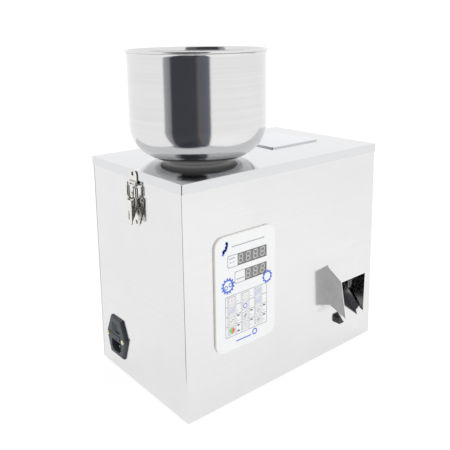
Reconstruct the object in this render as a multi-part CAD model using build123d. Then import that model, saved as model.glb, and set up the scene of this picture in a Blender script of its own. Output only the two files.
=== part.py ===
"""Bench-top weigh filler: a bowl hopper on a lift-off lid feeds a vibrating tray, the tray fills
a weigh bucket on a load cell, and the bucket's door drops each portion down a front chute.
X runs along the long front face, the front faces -Y, and Z = 0 is the surface the feet stand on.
"""
import os
from math import atan2, cos, degrees, hypot, radians, tan

from build123d import *

# ---------------------------------------------------------------- driving dimensions (mm)
BODY_LENGTH = 360.0      # over the lid skirt, along X
BODY_WIDTH = 216.0       # over the lid skirt, along Y
BODY_HEIGHT = 306.0      # underside of the case to the top of the lid
SHEET = 1.2              # stainless sheet of case and lid
LID_GAP = 0.2            # between lid skirt and case
LID_SKIRT = 12.3         # depth of the lid skirt
BEND = 1.6               # outside radius of a folded sheet edge
FLANGE = 12.0            # folded flange width
FOOT_HEIGHT = 5.0
FOOT_RADIUS = 10.0
FOOT_INSET = 36.0        # foot centre in from the case faces
FIT = 0.1                # clearance of a screw in its hole, on the radius
PIVOT_FIT = 0.05         # running clearance of a pivot, on the radius
SLIDE_FIT = 0.15         # clearance of a cap or drawer in its opening, each side

HOPPER_X = -73.0         # hopper axis, on the lid's centre line
BOWL_RADIUS = 93.0       # outside of the straight wall
BOWL_HEIGHT = 147.0      # lid top to the rim
BOWL_CURVE = 46.0        # outside radius where wall meets bottom
BOWL_WALL = 1.0
RIM_RADIUS = 1.7         # rolled wire rim
GASKET = 2.0             # rubber ring under the bowl
GASKET_RADIUS = 41.0
NECK_RADIUS = 20.0       # outlet tube of the bowl
NECK_DROP = 44.0         # outlet tube below the lid top
RING_NUT_RADIUS = 29.0
RING_NUT_HEIGHT = 6.0

PANE_X, PANE_Y = 87.0, 14.5      # sight pane on the lid
PANE_LENGTH, PANE_WIDTH, PANE = 96.0, 91.0, 2.0
PANE_LAP = 6.0

OVERLAY_X, OVERLAY_Z = -83.5, 152.2   # centre of the control panel, above the case underside
OVERLAY_LENGTH, OVERLAY_HEIGHT = 101.8, 154.5
OVERLAY = 3.0
OVERLAY_CORNER = 14.0
BOARD_GAP = 8.0          # front panel to control board
BOARD = 1.6
BOARD_MARGIN = 3.0       # board edge inside the overlay edge
KEY_COLUMNS = (-108.7, -86.2, -63.7)
KEY_ROWS = (142.8, 129.4, 116.0, 102.6)
KEY_LENGTH, KEY_HEIGHT = 11.0, 11.2
KEY_LIP = 0.5            # flange that keeps a key in
KEY_TRAVEL = 0.35
KEY_PROUD = 0.3
STEM_RADIUS = 2.2
LED_RADIUS = 1.1
LED_STEP_X, LED_STEP_Z = 10.1, 4.0
DISPLAY_HEIGHT = 15.9
WEIGHT_DISPLAY = (-73.25, 195.4, 49.9)   # centre x, centre z, length
COUNT_DISPLAY = (-67.2, 172.0, 37.8)
DISPLAY_SUNK = 0.6

CHUTE_X = 105.5          # centre of chute and bucket
HOOD_TOP, HOOD_LOW = 139.0, 75.0        # hood at the panel, above the case underside
HOOD_TOP_HALF, HOOD_LOW_HALF = 30.0, 22.0
HOOD_REACH = 25.0        # top plate, out from the panel
HOOD_TOP_DROP = 18.0
HOOD_TIP_REACH, HOOD_TIP_DROP = 29.0, 12.0
HOOD_SHEET = 1.0
TROUGH_WIDTH = 38.0
TROUGH_SLOPE = 46.5      # degrees below level
TROUGH_TIP_REACH, TROUGH_TIP_Z = 35.0, 46.0
TROUGH_INSIDE = 49.6     # trough past the front face, inside the case
TROUGH_EDGE = 6.0        # height of the folded side edges
SENSOR_Z = 47.0
SENSOR_WIDTH, SENSOR_HEIGHT, SENSOR_REACH = 17.0, 13.0, 7.0
SENSOR_BARREL = 4.0

BUCKET_WIDTH = 55.0
BUCKET_FRONT, BUCKET_BACK = -64.0, -8.0   # y of the bucket's outer faces
BUCKET_TOP, BUCKET_LOW = 240.0, 165.0
DOOR_HEIGHT = 38.0
DOOR_SHEET = 1.0
DOOR_PIN = 1.5
LOAD_CELL_LENGTH, LOAD_CELL = 80.0, 12.7

TRAY_ANGLE = -12.0       # tray direction about the hopper axis, from +X
TRAY_WIDTH = 44.0
TRAY_DEPTH = 22.0
TRAY_FLOOR = 250.0       # above the case underside
TRAY_BACK, TRAY_FRONT = -34.0, 165.0
SPRING_LEAN = 20.0       # leaf springs, from upright
SPRING_LEAF = 1.0

LATCH_Y = -4.0
LATCH_PIVOT_OUT, LATCH_PIVOT_Z = 6.0, 267.0
BAIL_ARM = 8.0           # lever pivot to bail pin
BAIL_WIRE = 1.25
BAIL_HALF = 10.0         # wire centre from the latch centre line
BAIL_LENGTH = 31.5
KEEPER_GAP = 2.0         # bail bar above its ledge

INLET_Y, INLET_Z = 60.0, 50.0
INLET_FLANGE = 4.0
INLET_DEPTH = 26.0

# ---------------------------------------------------------------- values that follow
case_x = BODY_LENGTH / 2 - SHEET - LID_GAP
case_y = BODY_WIDTH / 2 - SHEET - LID_GAP
inner_x = case_x - SHEET
inner_y = case_y - SHEET
base_z = FOOT_HEIGHT
deck_z = FOOT_HEIGHT + SHEET
lid_top = FOOT_HEIGHT + BODY_HEIGHT
wall_top = lid_top - SHEET
front = -case_y
board_y = -inner_y + BOARD_GAP


def block(x0, x1, y0, y1, z0, z1):
    """Box between two corners."""
    centre = Pos((x0 + x1) / 2, (y0 + y1) / 2, (z0 + z1) / 2)
    return centre * Box(abs(x1 - x0), abs(y1 - y0), abs(z1 - z0))


def rod_x(x0, x1, y, z, radius):
    return Pos((x0 + x1) / 2, y, z) * Rot(0, 90, 0) * Cylinder(radius, abs(x1 - x0))


def rod_y(x, y0, y1, z, radius):
    return Pos(x, (y0 + y1) / 2, z) * Rot(90, 0, 0) * Cylinder(radius, abs(y1 - y0))


def rod_z(x, y, z0, z1, radius):
    return Pos(x, y, (z0 + z1) / 2) * Cylinder(radius, abs(z1 - z0))


def plate_y(points, y0, y1):
    """Plate from an outline in XZ, between two y values."""
    face = make_face(Polyline(*[(x, y0, z) for x, z in points], close=True))
    return extrude(face, amount=abs(y1 - y0), dir=(0, 1 if y1 > y0 else -1, 0))


def plate_x(points, x0, x1):
    """Plate from an outline in YZ, between two x values."""
    face = make_face(Polyline(*[(x0, y, z) for y, z in points], close=True))
    return extrude(face, amount=abs(x1 - x0), dir=(1 if x1 > x0 else -1, 0, 0))


def group(shapes):
    """Separate solids kept in one node."""
    return Compound(children=[solid for shape in shapes for solid in shape.solids()])


def hexagon_nut(x, y, z0, across, height, bore):
    nut = extrude(RegularPolygon(across / 2, 6, major_radius=False), amount=height)
    return Pos(x, y, z0) * (nut - Pos(0, 0, height / 2) * Cylinder(bore, 2 * height))


# ---------------------------------------------------------------- case
foot_x, foot_y = case_x - FOOT_INSET, case_y - FOOT_INSET
foot_spots = [(sx * foot_x, sy * foot_y) for sx in (-1, 1) for sy in (-1, 1)]
FOOT_SCREW = 2.0
FOOT_HEAD, FOOT_HEAD_HEIGHT, FOOT_HEAD_SEAT = 4.0, 2.0, 3.0
FOOT_NUT, FOOT_NUT_HEIGHT = 7.0, 3.2
SLOT_HALF, SLOT_DEPTH = 0.4, 0.8         # screwdriver slot
CUT = 1.0                # how far a cutting body runs past a face


def base_plate():
    plate = block(-inner_x, inner_x, -inner_y, inner_y, base_z, deck_z + FLANGE)
    hollow_x, hollow_y = inner_x - SHEET, inner_y - SHEET
    plate = plate - block(-hollow_x, hollow_x, -hollow_y, hollow_y, deck_z, deck_z + 2 * FLANGE)
    for x, y in foot_spots:
        plate = plate - rod_z(x, y, 0, 2 * deck_z, FOOT_SCREW + FIT)
    return plate


def feet():
    made = []
    for x, y in foot_spots:
        foot = Pos(x, y, FOOT_HEIGHT / 2) * Cone(FOOT_RADIUS - 1, FOOT_RADIUS, FOOT_HEIGHT)
        foot = foot - rod_z(x, y, 0, FOOT_HEAD_SEAT, FOOT_HEAD + FIT)
        made.append(foot - rod_z(x, y, 0, FOOT_HEIGHT, FOOT_SCREW + FIT))
    return group(made)


def foot_screws():
    made = []
    for x, y in foot_spots:
        head = rod_z(x, y, FOOT_HEAD_SEAT - FOOT_HEAD_HEIGHT, FOOT_HEAD_SEAT, FOOT_HEAD)
        slot_top = FOOT_HEAD_SEAT - FOOT_HEAD_HEIGHT + SLOT_DEPTH
        slot = block(x - FOOT_HEAD, x + FOOT_HEAD, y - SLOT_HALF, y + SLOT_HALF, 0, slot_top)
        shank = rod_z(x, y, FOOT_HEAD_SEAT, deck_z + FOOT_NUT_HEIGHT + 1, FOOT_SCREW)
        made.append(head - slot + shank)
        made.append(hexagon_nut(x, y, deck_z, FOOT_NUT, FOOT_NUT_HEIGHT, FOOT_SCREW + FIT))
    return group(made)


def display_window(spec, gap, y0, y1):
    x, z, length = spec
    half, tall = length / 2 + gap, DISPLAY_HEIGHT / 2 + gap
    return block(x - half, x + half, y0, y1, base_z + z - tall, base_z + z + tall)


key_spots = [(x, base_z + z) for z in KEY_ROWS for x in KEY_COLUMNS]
led_spots = [(x + LED_STEP_X, base_z + z + LED_STEP_Z) for z in KEY_ROWS[2:] for x in KEY_COLUMNS]
led_spots.append((KEY_COLUMNS[0] + LED_STEP_X, base_z + KEY_ROWS[3] - LED_STEP_Z))
board_x0 = OVERLAY_X - OVERLAY_LENGTH / 2 + BOARD_MARGIN
board_x1 = OVERLAY_X + OVERLAY_LENGTH / 2 - BOARD_MARGIN
board_z0 = base_z + OVERLAY_Z - OVERLAY_HEIGHT / 2 + BOARD_MARGIN
board_z1 = base_z + OVERLAY_Z + OVERLAY_HEIGHT / 2 - BOARD_MARGIN
STANDOFF_INSET, STANDOFF_RADIUS, BOARD_SCREW = 5.0, 3.0, 1.4
standoff_spots = [(x, z) for x in (board_x0 + STANDOFF_INSET, board_x1 - STANDOFF_INSET)
                  for z in (board_z0 + STANDOFF_INSET, board_z1 - STANDOFF_INSET)]


def trough_floor(y):
    """Height of the trough's floor at a depth y."""
    run = y - (front - TROUGH_TIP_REACH)
    return base_z + TROUGH_TIP_Z + run * tan(radians(TROUGH_SLOPE))


trough_half = TROUGH_WIDTH / 2
trough_drop = SHEET / cos(radians(TROUGH_SLOPE))      # floor thickness, measured upright
sensor_z = base_z + SENSOR_Z


def chute_opening():
    low = trough_floor(front) - trough_drop - FIT
    high = base_z + HOOD_TOP - 3.0
    x0, x1 = CHUTE_X - trough_half - FIT, CHUTE_X + trough_half + FIT
    return block(x0, x1, front - CUT, -inner_y + CUT, low, high)


def front_panel():
    panel = block(-case_x, case_x, front, -inner_y, base_z, wall_top)
    for spec in (WEIGHT_DISPLAY, COUNT_DISPLAY):
        panel = panel - display_window(spec, 2 * SLIDE_FIT, front - CUT, -inner_y + CUT)
    for x, z in key_spots:
        panel = panel - rod_y(x, front - CUT, -inner_y + CUT, z, STEM_RADIUS + 2 * SLIDE_FIT)
    for x, z in led_spots:
        panel = panel - rod_y(x, front - CUT, -inner_y + CUT, z, LED_RADIUS + SLIDE_FIT)
    panel = panel - rod_y(CHUTE_X, front - CUT, -inner_y + CUT, sensor_z, SENSOR_BARREL + FIT)
    return panel - chute_opening()


VENTS, VENT_PITCH, VENT_LENGTH, VENT_WIDTH = 9, 9.0, 56.0, 3.0
VENT_X, VENT_Z = 60.0, 40.0


def rear_panel():
    panel = block(-case_x, case_x, inner_y, case_y, base_z, wall_top)
    for sx in (-1, 1):
        for i in range(VENTS):
            z = base_z + VENT_Z + i * VENT_PITCH
            slot = extrude(SlotOverall(VENT_LENGTH, VENT_WIDTH), amount=6 * SHEET, both=True)
            slot = Rot(90, 0, 0) * slot
            panel = panel - Pos(sx * VENT_X, case_y, z) * slot
    return panel


def side_shell(side):
    """Side panel folded inwards behind the front and rear panels; side is -1 or 1."""
    x0, x1 = sorted((side * case_x, side * (case_x - FLANGE - SHEET)))
    shell = block(x0, x1, -inner_y, inner_y, base_z, wall_top)
    upright = shell.edges().filter_by(Axis.Z)
    bends = [edge for edge in upright if abs(abs(edge.center().X) - case_x) < 0.01]
    shell = fillet(bends, BEND)
    cut0, cut1 = sorted((side * inner_x, side * (case_x - 2 * FLANGE)))
    room_y = inner_y - SHEET
    shell = shell - block(cut0, cut1, -room_y, room_y, base_z - CUT, wall_top + CUT)
    notch_top = deck_z + FLANGE + FIT
    return shell - block(cut0, cut1, -inner_y - CUT, inner_y + CUT, base_z - CUT, notch_top)


# ---------------------------------------------------------------- lid, pane and hopper
def lid():
    half_x, half_y = BODY_LENGTH / 2, BODY_WIDTH / 2
    shell = block(-half_x, half_x, -half_y, half_y, lid_top - LID_SKIRT, lid_top)
    shell = fillet(shell.edges().filter_by(Axis.Z), BEND)
    shell = fillet(shell.faces().sort_by(Axis.Z)[-1].edges(), 0.8)
    room_x, room_y = half_x - SHEET, half_y - SHEET
    shell = shell - block(-room_x, room_x, -room_y, room_y, lid_top - 2 * LID_SKIRT, wall_top)
    shell = shell - rod_z(HOPPER_X, 0, wall_top - 1, lid_top + 1, NECK_RADIUS + FIT)
    hole_x, hole_y = PANE_LENGTH / 2 - PANE_LAP, PANE_WIDTH / 2 - PANE_LAP
    hole = block(-hole_x, hole_x, -hole_y, hole_y, wall_top - CUT, lid_top + CUT)
    return shell - Pos(PANE_X, PANE_Y, 0) * hole


def sight_pane():
    half_x, half_y = PANE_LENGTH / 2, PANE_WIDTH / 2
    pane = block(-half_x, half_x, -half_y, half_y, lid_top, lid_top + PANE)
    return Pos(PANE_X, PANE_Y, 0) * fillet(pane.edges().filter_by(Axis.Z), 2.0)


def hopper_bowl():
    """Spun bowl with a rolled rim and a hole for the outlet tube, revolved about its own axis."""
    low = GASKET
    outer, curve = BOWL_RADIUS, BOWL_CURVE
    arc_x, arc_z = outer - curve, low + curve
    inner_curve = curve - BOWL_WALL
    with BuildPart() as spun:
        with BuildSketch(Plane.XZ):
            with BuildLine():
                Line((NECK_RADIUS, low), (arc_x, low))
                CenterArc((arc_x, arc_z), curve, 270, 90)
                Line((outer, arc_z), (outer, BOWL_HEIGHT))
                Line((outer, BOWL_HEIGHT), (outer - BOWL_WALL, BOWL_HEIGHT))
                Line((outer - BOWL_WALL, BOWL_HEIGHT), (outer - BOWL_WALL, arc_z))
                CenterArc((arc_x, arc_z), inner_curve, 0, -90)
                Line((arc_x, low + BOWL_WALL), (NECK_RADIUS, low + BOWL_WALL))
                Line((NECK_RADIUS, low + BOWL_WALL), (NECK_RADIUS, low))
            make_face()
        revolve(axis=Axis.Z)
    rim = Pos(0, 0, BOWL_HEIGHT - RIM_RADIUS / 2) * Torus(outer + RIM_RADIUS / 2, RIM_RADIUS)
    return Pos(HOPPER_X, 0, lid_top) * (spun.part + rim)


def outlet_tube():
    """Tube welded into the bowl's hole, down through the lid to just above the tray."""
    top, low = lid_top + GASKET + BOWL_WALL, lid_top - NECK_DROP
    tube = rod_z(HOPPER_X, 0, low, top, NECK_RADIUS)
    return tube - rod_z(HOPPER_X, 0, low - CUT, top + CUT, NECK_RADIUS - BOWL_WALL)


def hopper_gasket():
    ring = rod_z(HOPPER_X, 0, lid_top, lid_top + GASKET, GASKET_RADIUS)
    return ring - rod_z(HOPPER_X, 0, lid_top - 1, lid_top + GASKET + 1, NECK_RADIUS + FIT)


def hopper_ring_nut():
    nut = rod_z(HOPPER_X, 0, wall_top - RING_NUT_HEIGHT, wall_top, RING_NUT_RADIUS)
    nut = nut - rod_z(HOPPER_X, 0, wall_top - 2 * RING_NUT_HEIGHT, wall_top + 1, NECK_RADIUS + FIT)
    for i in range(6):
        notch = Pos(RING_NUT_RADIUS, 0, wall_top - RING_NUT_HEIGHT / 2) * Box(5, 7, 2 * RING_NUT_HEIGHT)
        nut = nut - Pos(HOPPER_X, 0, 0) * Rot(0, 0, 60 * i) * notch
    return nut


# ---------------------------------------------------------------- control panel
def control_overlay():
    middle = (OVERLAY_X, front, base_z + OVERLAY_Z)
    with BuildPart() as sheet:
        with BuildSketch(Plane(origin=middle, x_dir=(1, 0, 0), z_dir=(0, -1, 0))):
            RectangleRounded(OVERLAY_LENGTH, OVERLAY_HEIGHT, OVERLAY_CORNER)
        extrude(amount=OVERLAY)
    plate = sheet.part
    face_y = front - OVERLAY
    plate = chamfer(plate.faces().sort_by(Axis.Y)[0].edges(), 0.5)
    for spec in (WEIGHT_DISPLAY, COUNT_DISPLAY):
        plate = plate - display_window(spec, SLIDE_FIT, face_y - 1, front + 1)
    half_x, half_z = KEY_LENGTH / 2 + SLIDE_FIT, KEY_HEIGHT / 2 + SLIDE_FIT
    lip_x, lip_z = half_x + KEY_LIP + SLIDE_FIT, half_z + KEY_LIP + SLIDE_FIT
    for x, z in key_spots:
        plate = plate - block(x - half_x, x + half_x, face_y - 1, front + 1, z - half_z, z + half_z)
        plate = plate - block(x - lip_x, x + lip_x, front - KEY_POCKET, front + 1, z - lip_z, z + lip_z)
    for x, z in led_spots:
        plate = plate - rod_y(x, face_y - 1, front + 1, z, LED_RADIUS + SLIDE_FIT)
    return plate


KEY_FLANGE = 0.75
KEY_SHUT = 0.05          # key flange behind the overlay's lip
KEY_POCKET = KEY_TRAVEL + KEY_FLANGE + 2 * KEY_SHUT
SWITCH = 4.2             # height of a push switch on the board


def key_cap(x, z):
    back = front - KEY_POCKET + KEY_SHUT
    half_x, half_z = KEY_LENGTH / 2, KEY_HEIGHT / 2
    cap = block(x - half_x, x + half_x, front - OVERLAY - KEY_PROUD, back, z - half_z, z + half_z)
    cap = fillet(cap.edges().filter_by(Axis.Y), 1.0)
    lip_x, lip_z = half_x + KEY_LIP, half_z + KEY_LIP
    lip = block(x - lip_x, x + lip_x, back, back + KEY_FLANGE, z - lip_z, z + lip_z)
    stem = rod_y(x, back, board_y - SWITCH - KEY_TRAVEL - KEY_SHUT, z, STEM_RADIUS)
    return cap + lip + stem


def key_switches():
    body = 6.0
    made = []
    for x, z in key_spots:
        case = block(x - body / 2, x + body / 2, board_y - SWITCH + 1, board_y, z - body / 2, z + body / 2)
        made.append(case + rod_y(x, board_y - SWITCH, board_y - SWITCH + 1, z, 1.7))
    return group(made)


def display_module(spec):
    face_y = front - OVERLAY + DISPLAY_SUNK
    return display_window(spec, 0, face_y, board_y)


def panel_leds():
    made = []
    for x, z in led_spots:
        lamp = rod_y(x, front - OVERLAY, board_y, z, LED_RADIUS)
        made.append(lamp + rod_y(x, board_y - 2, board_y, z, LED_RADIUS + 0.4))
    return group(made)


def control_board():
    board = block(board_x0, board_x1, board_y, board_y + BOARD, board_z0, board_z1)
    for x, z in standoff_spots:
        board = board - rod_y(x, board_y - 1, board_y + BOARD + 1, z, BOARD_SCREW + FIT)
    return board


def board_chips():
    """Controller, driver chips, a connector and two tall capacitors on the back of the board."""
    back = board_y + BOARD
    mid_x = (board_x0 + board_x1) / 2
    chips = [block(mid_x - 9, mid_x + 9, back, back + 1.4, base_z + 140, base_z + 158)]
    for i in range(3):
        x = board_x0 + 22 + 24 * i
        chips.append(block(x - 8, x + 8, back, back + 2, base_z + 186, base_z + 192))
    chips.append(block(mid_x - 22, mid_x + 22, back, back + 9, base_z + 92, base_z + 99))
    for x in (board_x0 + 18, board_x0 + 30):
        chips.append(rod_y(x, back, back + 12, base_z + 118, 4.0))
    return group(chips)


def board_standoffs():
    made = []
    for x, z in standoff_spots:
        post = rod_y(x, -inner_y, board_y, z, STANDOFF_RADIUS)
        made.append(post - rod_y(x, -inner_y + 2, board_y + 1, z, BOARD_SCREW + FIT))
    return group(made)


def board_screws():
    back = board_y + BOARD
    made = []
    for x, z in standoff_spots:
        made.append(rod_y(x, back, back + 1.8, z, 2.6) + rod_y(x, board_y - 4, back, z, BOARD_SCREW))
    return group(made)


# ---------------------------------------------------------------- chute
def chute_hood():
    """Three-sided folded hood: sloping top and two walls that lean in towards the bottom."""
    top, low = base_z + HOOD_TOP, base_z + HOOD_LOW
    lean = (HOOD_TOP_HALF - HOOD_LOW_HALF) / (HOOD_TOP - HOOD_LOW)
    tip_z = low - HOOD_TIP_DROP
    tip_half = HOOD_LOW_HALF - lean * HOOD_TIP_DROP
    y1 = front - HOOD_TIP_REACH - 5

    def funnel(inset, extra):
        bottom = tip_half - lean * extra - inset
        upper = HOOD_TOP_HALF - inset
        points = [(-upper, top), (upper, top), (bottom, tip_z - extra), (-bottom, tip_z - extra)]
        return plate_y([(CHUTE_X + x, z) for x, z in points], front, y1)

    side = [(front, low), (front, top), (front - HOOD_REACH, top - HOOD_TOP_DROP),
            (front - HOOD_TIP_REACH, tip_z)]
    outer = funnel(0, 0) & plate_x(side, CHUTE_X - 60, CHUTE_X + 60)
    slope = HOOD_TOP_DROP / HOOD_REACH
    roof = HOOD_SHEET * hypot(1, slope)
    far = HOOD_REACH + 20
    room = [(front, low - 60), (front, top - roof), (front - far, top - roof - slope * far),
            (front - far, low - 60)]
    inner = funnel(HOOD_SHEET, 20) & plate_x(room, CHUTE_X - 60, CHUTE_X + 60)
    hood = outer - inner
    for sx in (-1, 1):
        hood = hood - rod_y(CHUTE_X + sx * HOOD_TOP_HALF, front, front - 2.5, top, 1.6)
    return hood


def chute_trough():
    """Sloping floor with two folded edges and a round tongue."""
    angle = TROUGH_SLOPE
    slope_length = (TROUGH_INSIDE + TROUGH_TIP_REACH) / cos(radians(angle))
    half = trough_half
    floor = block(half, slope_length, -half, half, -SHEET, 0) + rod_z(half, 0, -SHEET, 0, half)
    for sy in (-1, 1):
        y0, y1 = sorted((sy * half, sy * (half - SHEET)))
        edge = block(half + 4, slope_length, y0, y1, 0, TROUGH_EDGE)
        nose = edge.edges().filter_by(Axis.Y).sort_by(Axis.X)[0:2].sort_by(Axis.Z)[-1]
        floor = floor + fillet(nose, TROUGH_EDGE - 0.5)
    tip = Pos(CHUTE_X, front - TROUGH_TIP_REACH, base_z + TROUGH_TIP_Z)
    return tip * Rot(0, 0, 90) * Rot(0, -angle, 0) * floor


def discharge_funnel():
    """Sheet funnel under the bucket that narrows to the trough."""
    z0, z1 = base_z + 142.0, base_z + 159.0
    top_half, low_half = 31.0, trough_half - SHEET - FIT
    y0, y1_top, y1_low = -inner_y, BUCKET_FRONT + 17, front + TROUGH_INSIDE - 5

    def body(inset, lift):
        top = Plane((CHUTE_X, 0, z1 + lift))
        low = Plane((CHUTE_X, 0, z0 - lift))
        upper = top * Pos(0, (y0 + y1_top) / 2) * Rectangle(2 * (top_half - inset), y1_top - y0 - 2 * inset)
        lower = low * Pos(0, (y0 + y1_low) / 2) * Rectangle(2 * (low_half - inset), y1_low - y0 - 2 * inset)
        return loft([lower.faces()[0], upper.faces()[0]])

    return body(0, 0) - body(SHEET, 0.01)


def photo_sensor():
    reach = front - SENSOR_REACH
    half_x, half_z = SENSOR_WIDTH / 2, SENSOR_HEIGHT / 2
    head = block(CHUTE_X - half_x, CHUTE_X + half_x, reach, front, sensor_z - half_z, sensor_z + half_z)
    head = fillet(head.edges().filter_by(Axis.Y), 3.5)
    head = fillet(head.faces().sort_by(Axis.Y)[0].edges(), 1.5)
    slot_half = half_x - 3
    slot = block(-slot_half, slot_half, reach - CUT, reach + 0.8, sensor_z - 0.6, sensor_z + 0.6)
    head = head - Pos(CHUTE_X, 0, 0) * slot
    return head + rod_y(CHUTE_X, front, -inner_y + 12, sensor_z, SENSOR_BARREL)


def sensor_nut():
    nut = extrude(RegularPolygon(6.5, 6, major_radius=False), amount=4.0)
    nut = nut - Pos(0, 0, 2) * Cylinder(SENSOR_BARREL + FIT, 8)
    return Pos(CHUTE_X, -inner_y, sensor_z) * Rot(-90, 0, 0) * nut


# ---------------------------------------------------------------- weigh bucket and its door
bucket_top, bucket_low = base_z + BUCKET_TOP, base_z + BUCKET_LOW
bucket_x0, bucket_x1 = CHUTE_X - BUCKET_WIDTH / 2, CHUTE_X + BUCKET_WIDTH / 2
bucket_back_low = bucket_low + (BUCKET_BACK - BUCKET_FRONT)
door_pin_y = BUCKET_FRONT - DOOR_SHEET - DOOR_PIN - 1.0
door_pin_z = bucket_low + DOOR_HEIGHT


def weigh_bucket():
    outline = [(BUCKET_FRONT, bucket_top), (BUCKET_BACK, bucket_top),
               (BUCKET_BACK, bucket_back_low), (BUCKET_FRONT, bucket_low)]
    outer = plate_x(outline, bucket_x0, bucket_x1)
    t = DOOR_SHEET
    skew = t * 2 ** 0.5
    front_in, back_in = BUCKET_FRONT + t, BUCKET_BACK - t
    room = [(front_in, bucket_top + CUT), (back_in, bucket_top + CUT),
            (back_in, bucket_back_low - t + skew), (front_in, bucket_low + t + skew)]
    bucket = outer - plate_x(room, bucket_x0 + t, bucket_x1 - t)
    sill = bucket_low + 2 * t + 0.8
    mouth = block(bucket_x0 + t, bucket_x1 - t, BUCKET_FRONT - CUT, front_in + 5, sill, door_pin_z - 3)
    bucket = bucket - mouth
    for x0, x1 in ((bucket_x0, bucket_x0 + t), (bucket_x1 - t, bucket_x1)):
        ear = block(x0, x1, door_pin_y, BUCKET_FRONT + 1, door_pin_z - 4, door_pin_z + 4)
        bucket = bucket + ear + rod_x(x0, x1, door_pin_y, door_pin_z, 4.0)
    return bucket - rod_x(bucket_x0 - 5, bucket_x1 + 5, door_pin_y, door_pin_z, DOOR_PIN + 0.001)


def door_pin():
    pin = rod_x(bucket_x0 - 3, bucket_x1 + 4, door_pin_y, door_pin_z, DOOR_PIN)
    return pin + rod_x(bucket_x0 - 4.5, bucket_x0 - 3, door_pin_y, door_pin_z, DOOR_PIN + 1)


def bucket_door():
    """Front door hung from the pin, with a push arm beyond the bucket's right side."""
    t = DOOR_SHEET
    gap = 0.3
    back = BUCKET_FRONT - gap
    x0, x1 = bucket_x0 + t + gap, bucket_x1 - t - gap
    leaf = block(x0 - 1, x1 + 1, back - t, back, bucket_low + 0.5, door_pin_z - DOOR_PIN - 4)
    strap = block(x0, x1, back - t, back, door_pin_z - DOOR_PIN - 4, door_pin_z)
    tube = rod_x(x0, x1, door_pin_y, door_pin_z, DOOR_PIN + 1.2)
    arm_x = bucket_x1 + 1
    arm = block(x1 - 1, arm_x + t, back - t, back, bucket_low + 8, bucket_low + 14)
    door = leaf + strap + tube + arm
    return door - rod_x(x0 - 5, arm_x + 5, door_pin_y, door_pin_z, DOOR_PIN + PIVOT_FIT)


MOTOR_RADIUS, MOTOR_LENGTH, MOTOR_SHAFT = 10.0, 22.0, 2.0
motor_x0 = bucket_x1 + 14.0
finger_y = BUCKET_FRONT + 2.6
finger_z = bucket_low + 11.0


def door_motor():
    body = rod_x(motor_x0, motor_x0 + MOTOR_LENGTH, door_pin_y, door_pin_z, MOTOR_RADIUS)
    shaft = rod_x(motor_x0 - 8, motor_x0, door_pin_y, door_pin_z, MOTOR_SHAFT)
    return body + shaft


def door_crank():
    """Crank on the motor shaft whose finger pushes the door's arm from behind."""
    hub_x0, hub_x1 = motor_x0 - 7.5, motor_x0 - 2.5
    hub = rod_x(hub_x0, hub_x1, door_pin_y, door_pin_z, 5.0)
    reach = hypot(finger_y - door_pin_y, finger_z - door_pin_z)
    turn = degrees(atan2(finger_y - door_pin_y, door_pin_z - finger_z))
    web = block(hub_x0, hub_x0 + 2, -2.5, 2.5, -reach, 0)
    web = Pos(0, door_pin_y, door_pin_z) * Rot(turn, 0, 0) * web
    finger = rod_x(bucket_x1 + 0.6, hub_x0 + 2, finger_y, finger_z, 1.5)
    bore = rod_x(hub_x0 - CUT, hub_x1 + CUT, door_pin_y, door_pin_z, MOTOR_SHAFT + PIVOT_FIT)
    return (hub + web + finger) - bore


def motor_bracket():
    """Plate on the right side panel that carries the door motor."""
    x0 = motor_x0 + MOTOR_LENGTH
    half = MOTOR_RADIUS + 6
    face = block(x0, x0 + 2, door_pin_y - half + 2, door_pin_y + half, door_pin_z - half, door_pin_z + half)
    legs = []
    for sz in (-1, 1):
        z0, z1 = sorted((door_pin_z + sz * half, door_pin_z + sz * (half - 2)))
        legs.append(block(x0, inner_x, door_pin_y - half + 2, door_pin_y + half, z0, z1))
    return face + legs[0] + legs[1]


cell_z0 = bucket_back_low - 14.0 - LOAD_CELL
cell_y0 = BUCKET_BACK + 6.0
cell_y1 = cell_y0 + LOAD_CELL_LENGTH
cell_x0, cell_x1 = CHUTE_X - LOAD_CELL / 2, CHUTE_X + LOAD_CELL / 2
CELL_SCREW = 2.0
CELL_SCREW_IN = 6.0
POST_LENGTH = 20.0


def load_cell():
    bar = block(cell_x0, cell_x1, cell_y0, cell_y1, cell_z0, cell_z0 + LOAD_CELL)
    mid_y, mid_z = (cell_y0 + cell_y1) / 2, cell_z0 + LOAD_CELL / 2
    for dy in (-7.5, 7.5):
        bar = bar - rod_x(cell_x0 - 1, cell_x1 + 1, mid_y + dy, mid_z, 5.0)
    for y in (cell_y0 + CELL_SCREW_IN, cell_y1 - CELL_SCREW_IN):
        bar = bar - rod_z(CHUTE_X, y, cell_z0 - 1, cell_z0 + LOAD_CELL + 1, CELL_SCREW + FIT)
    return bar


HANGER = 1.5


def bucket_hanger():
    z0 = cell_z0 + LOAD_CELL
    foot = block(CHUTE_X - 14, CHUTE_X + 14, BUCKET_BACK, cell_y0 + 2 * CELL_SCREW_IN, z0, z0 + HANGER)
    back = block(CHUTE_X - 14, CHUTE_X + 14, BUCKET_BACK, BUCKET_BACK + HANGER, z0, bucket_top - 6)
    return foot + back - rod_z(CHUTE_X, cell_y0 + CELL_SCREW_IN, z0 - 1, z0 + 3, CELL_SCREW + FIT)


def load_cell_post():
    post = block(CHUTE_X - 10, CHUTE_X + 10, cell_y1 - POST_LENGTH, cell_y1, deck_z, cell_z0)
    foot = block(CHUTE_X - 22, CHUTE_X + 22, cell_y1 - POST_LENGTH - 6, cell_y1 + 6, deck_z, deck_z + 5)
    return post + foot - rod_z(CHUTE_X, cell_y1 - CELL_SCREW_IN, cell_z0 - 9, cell_z0 + 1, CELL_SCREW + FIT)


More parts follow.
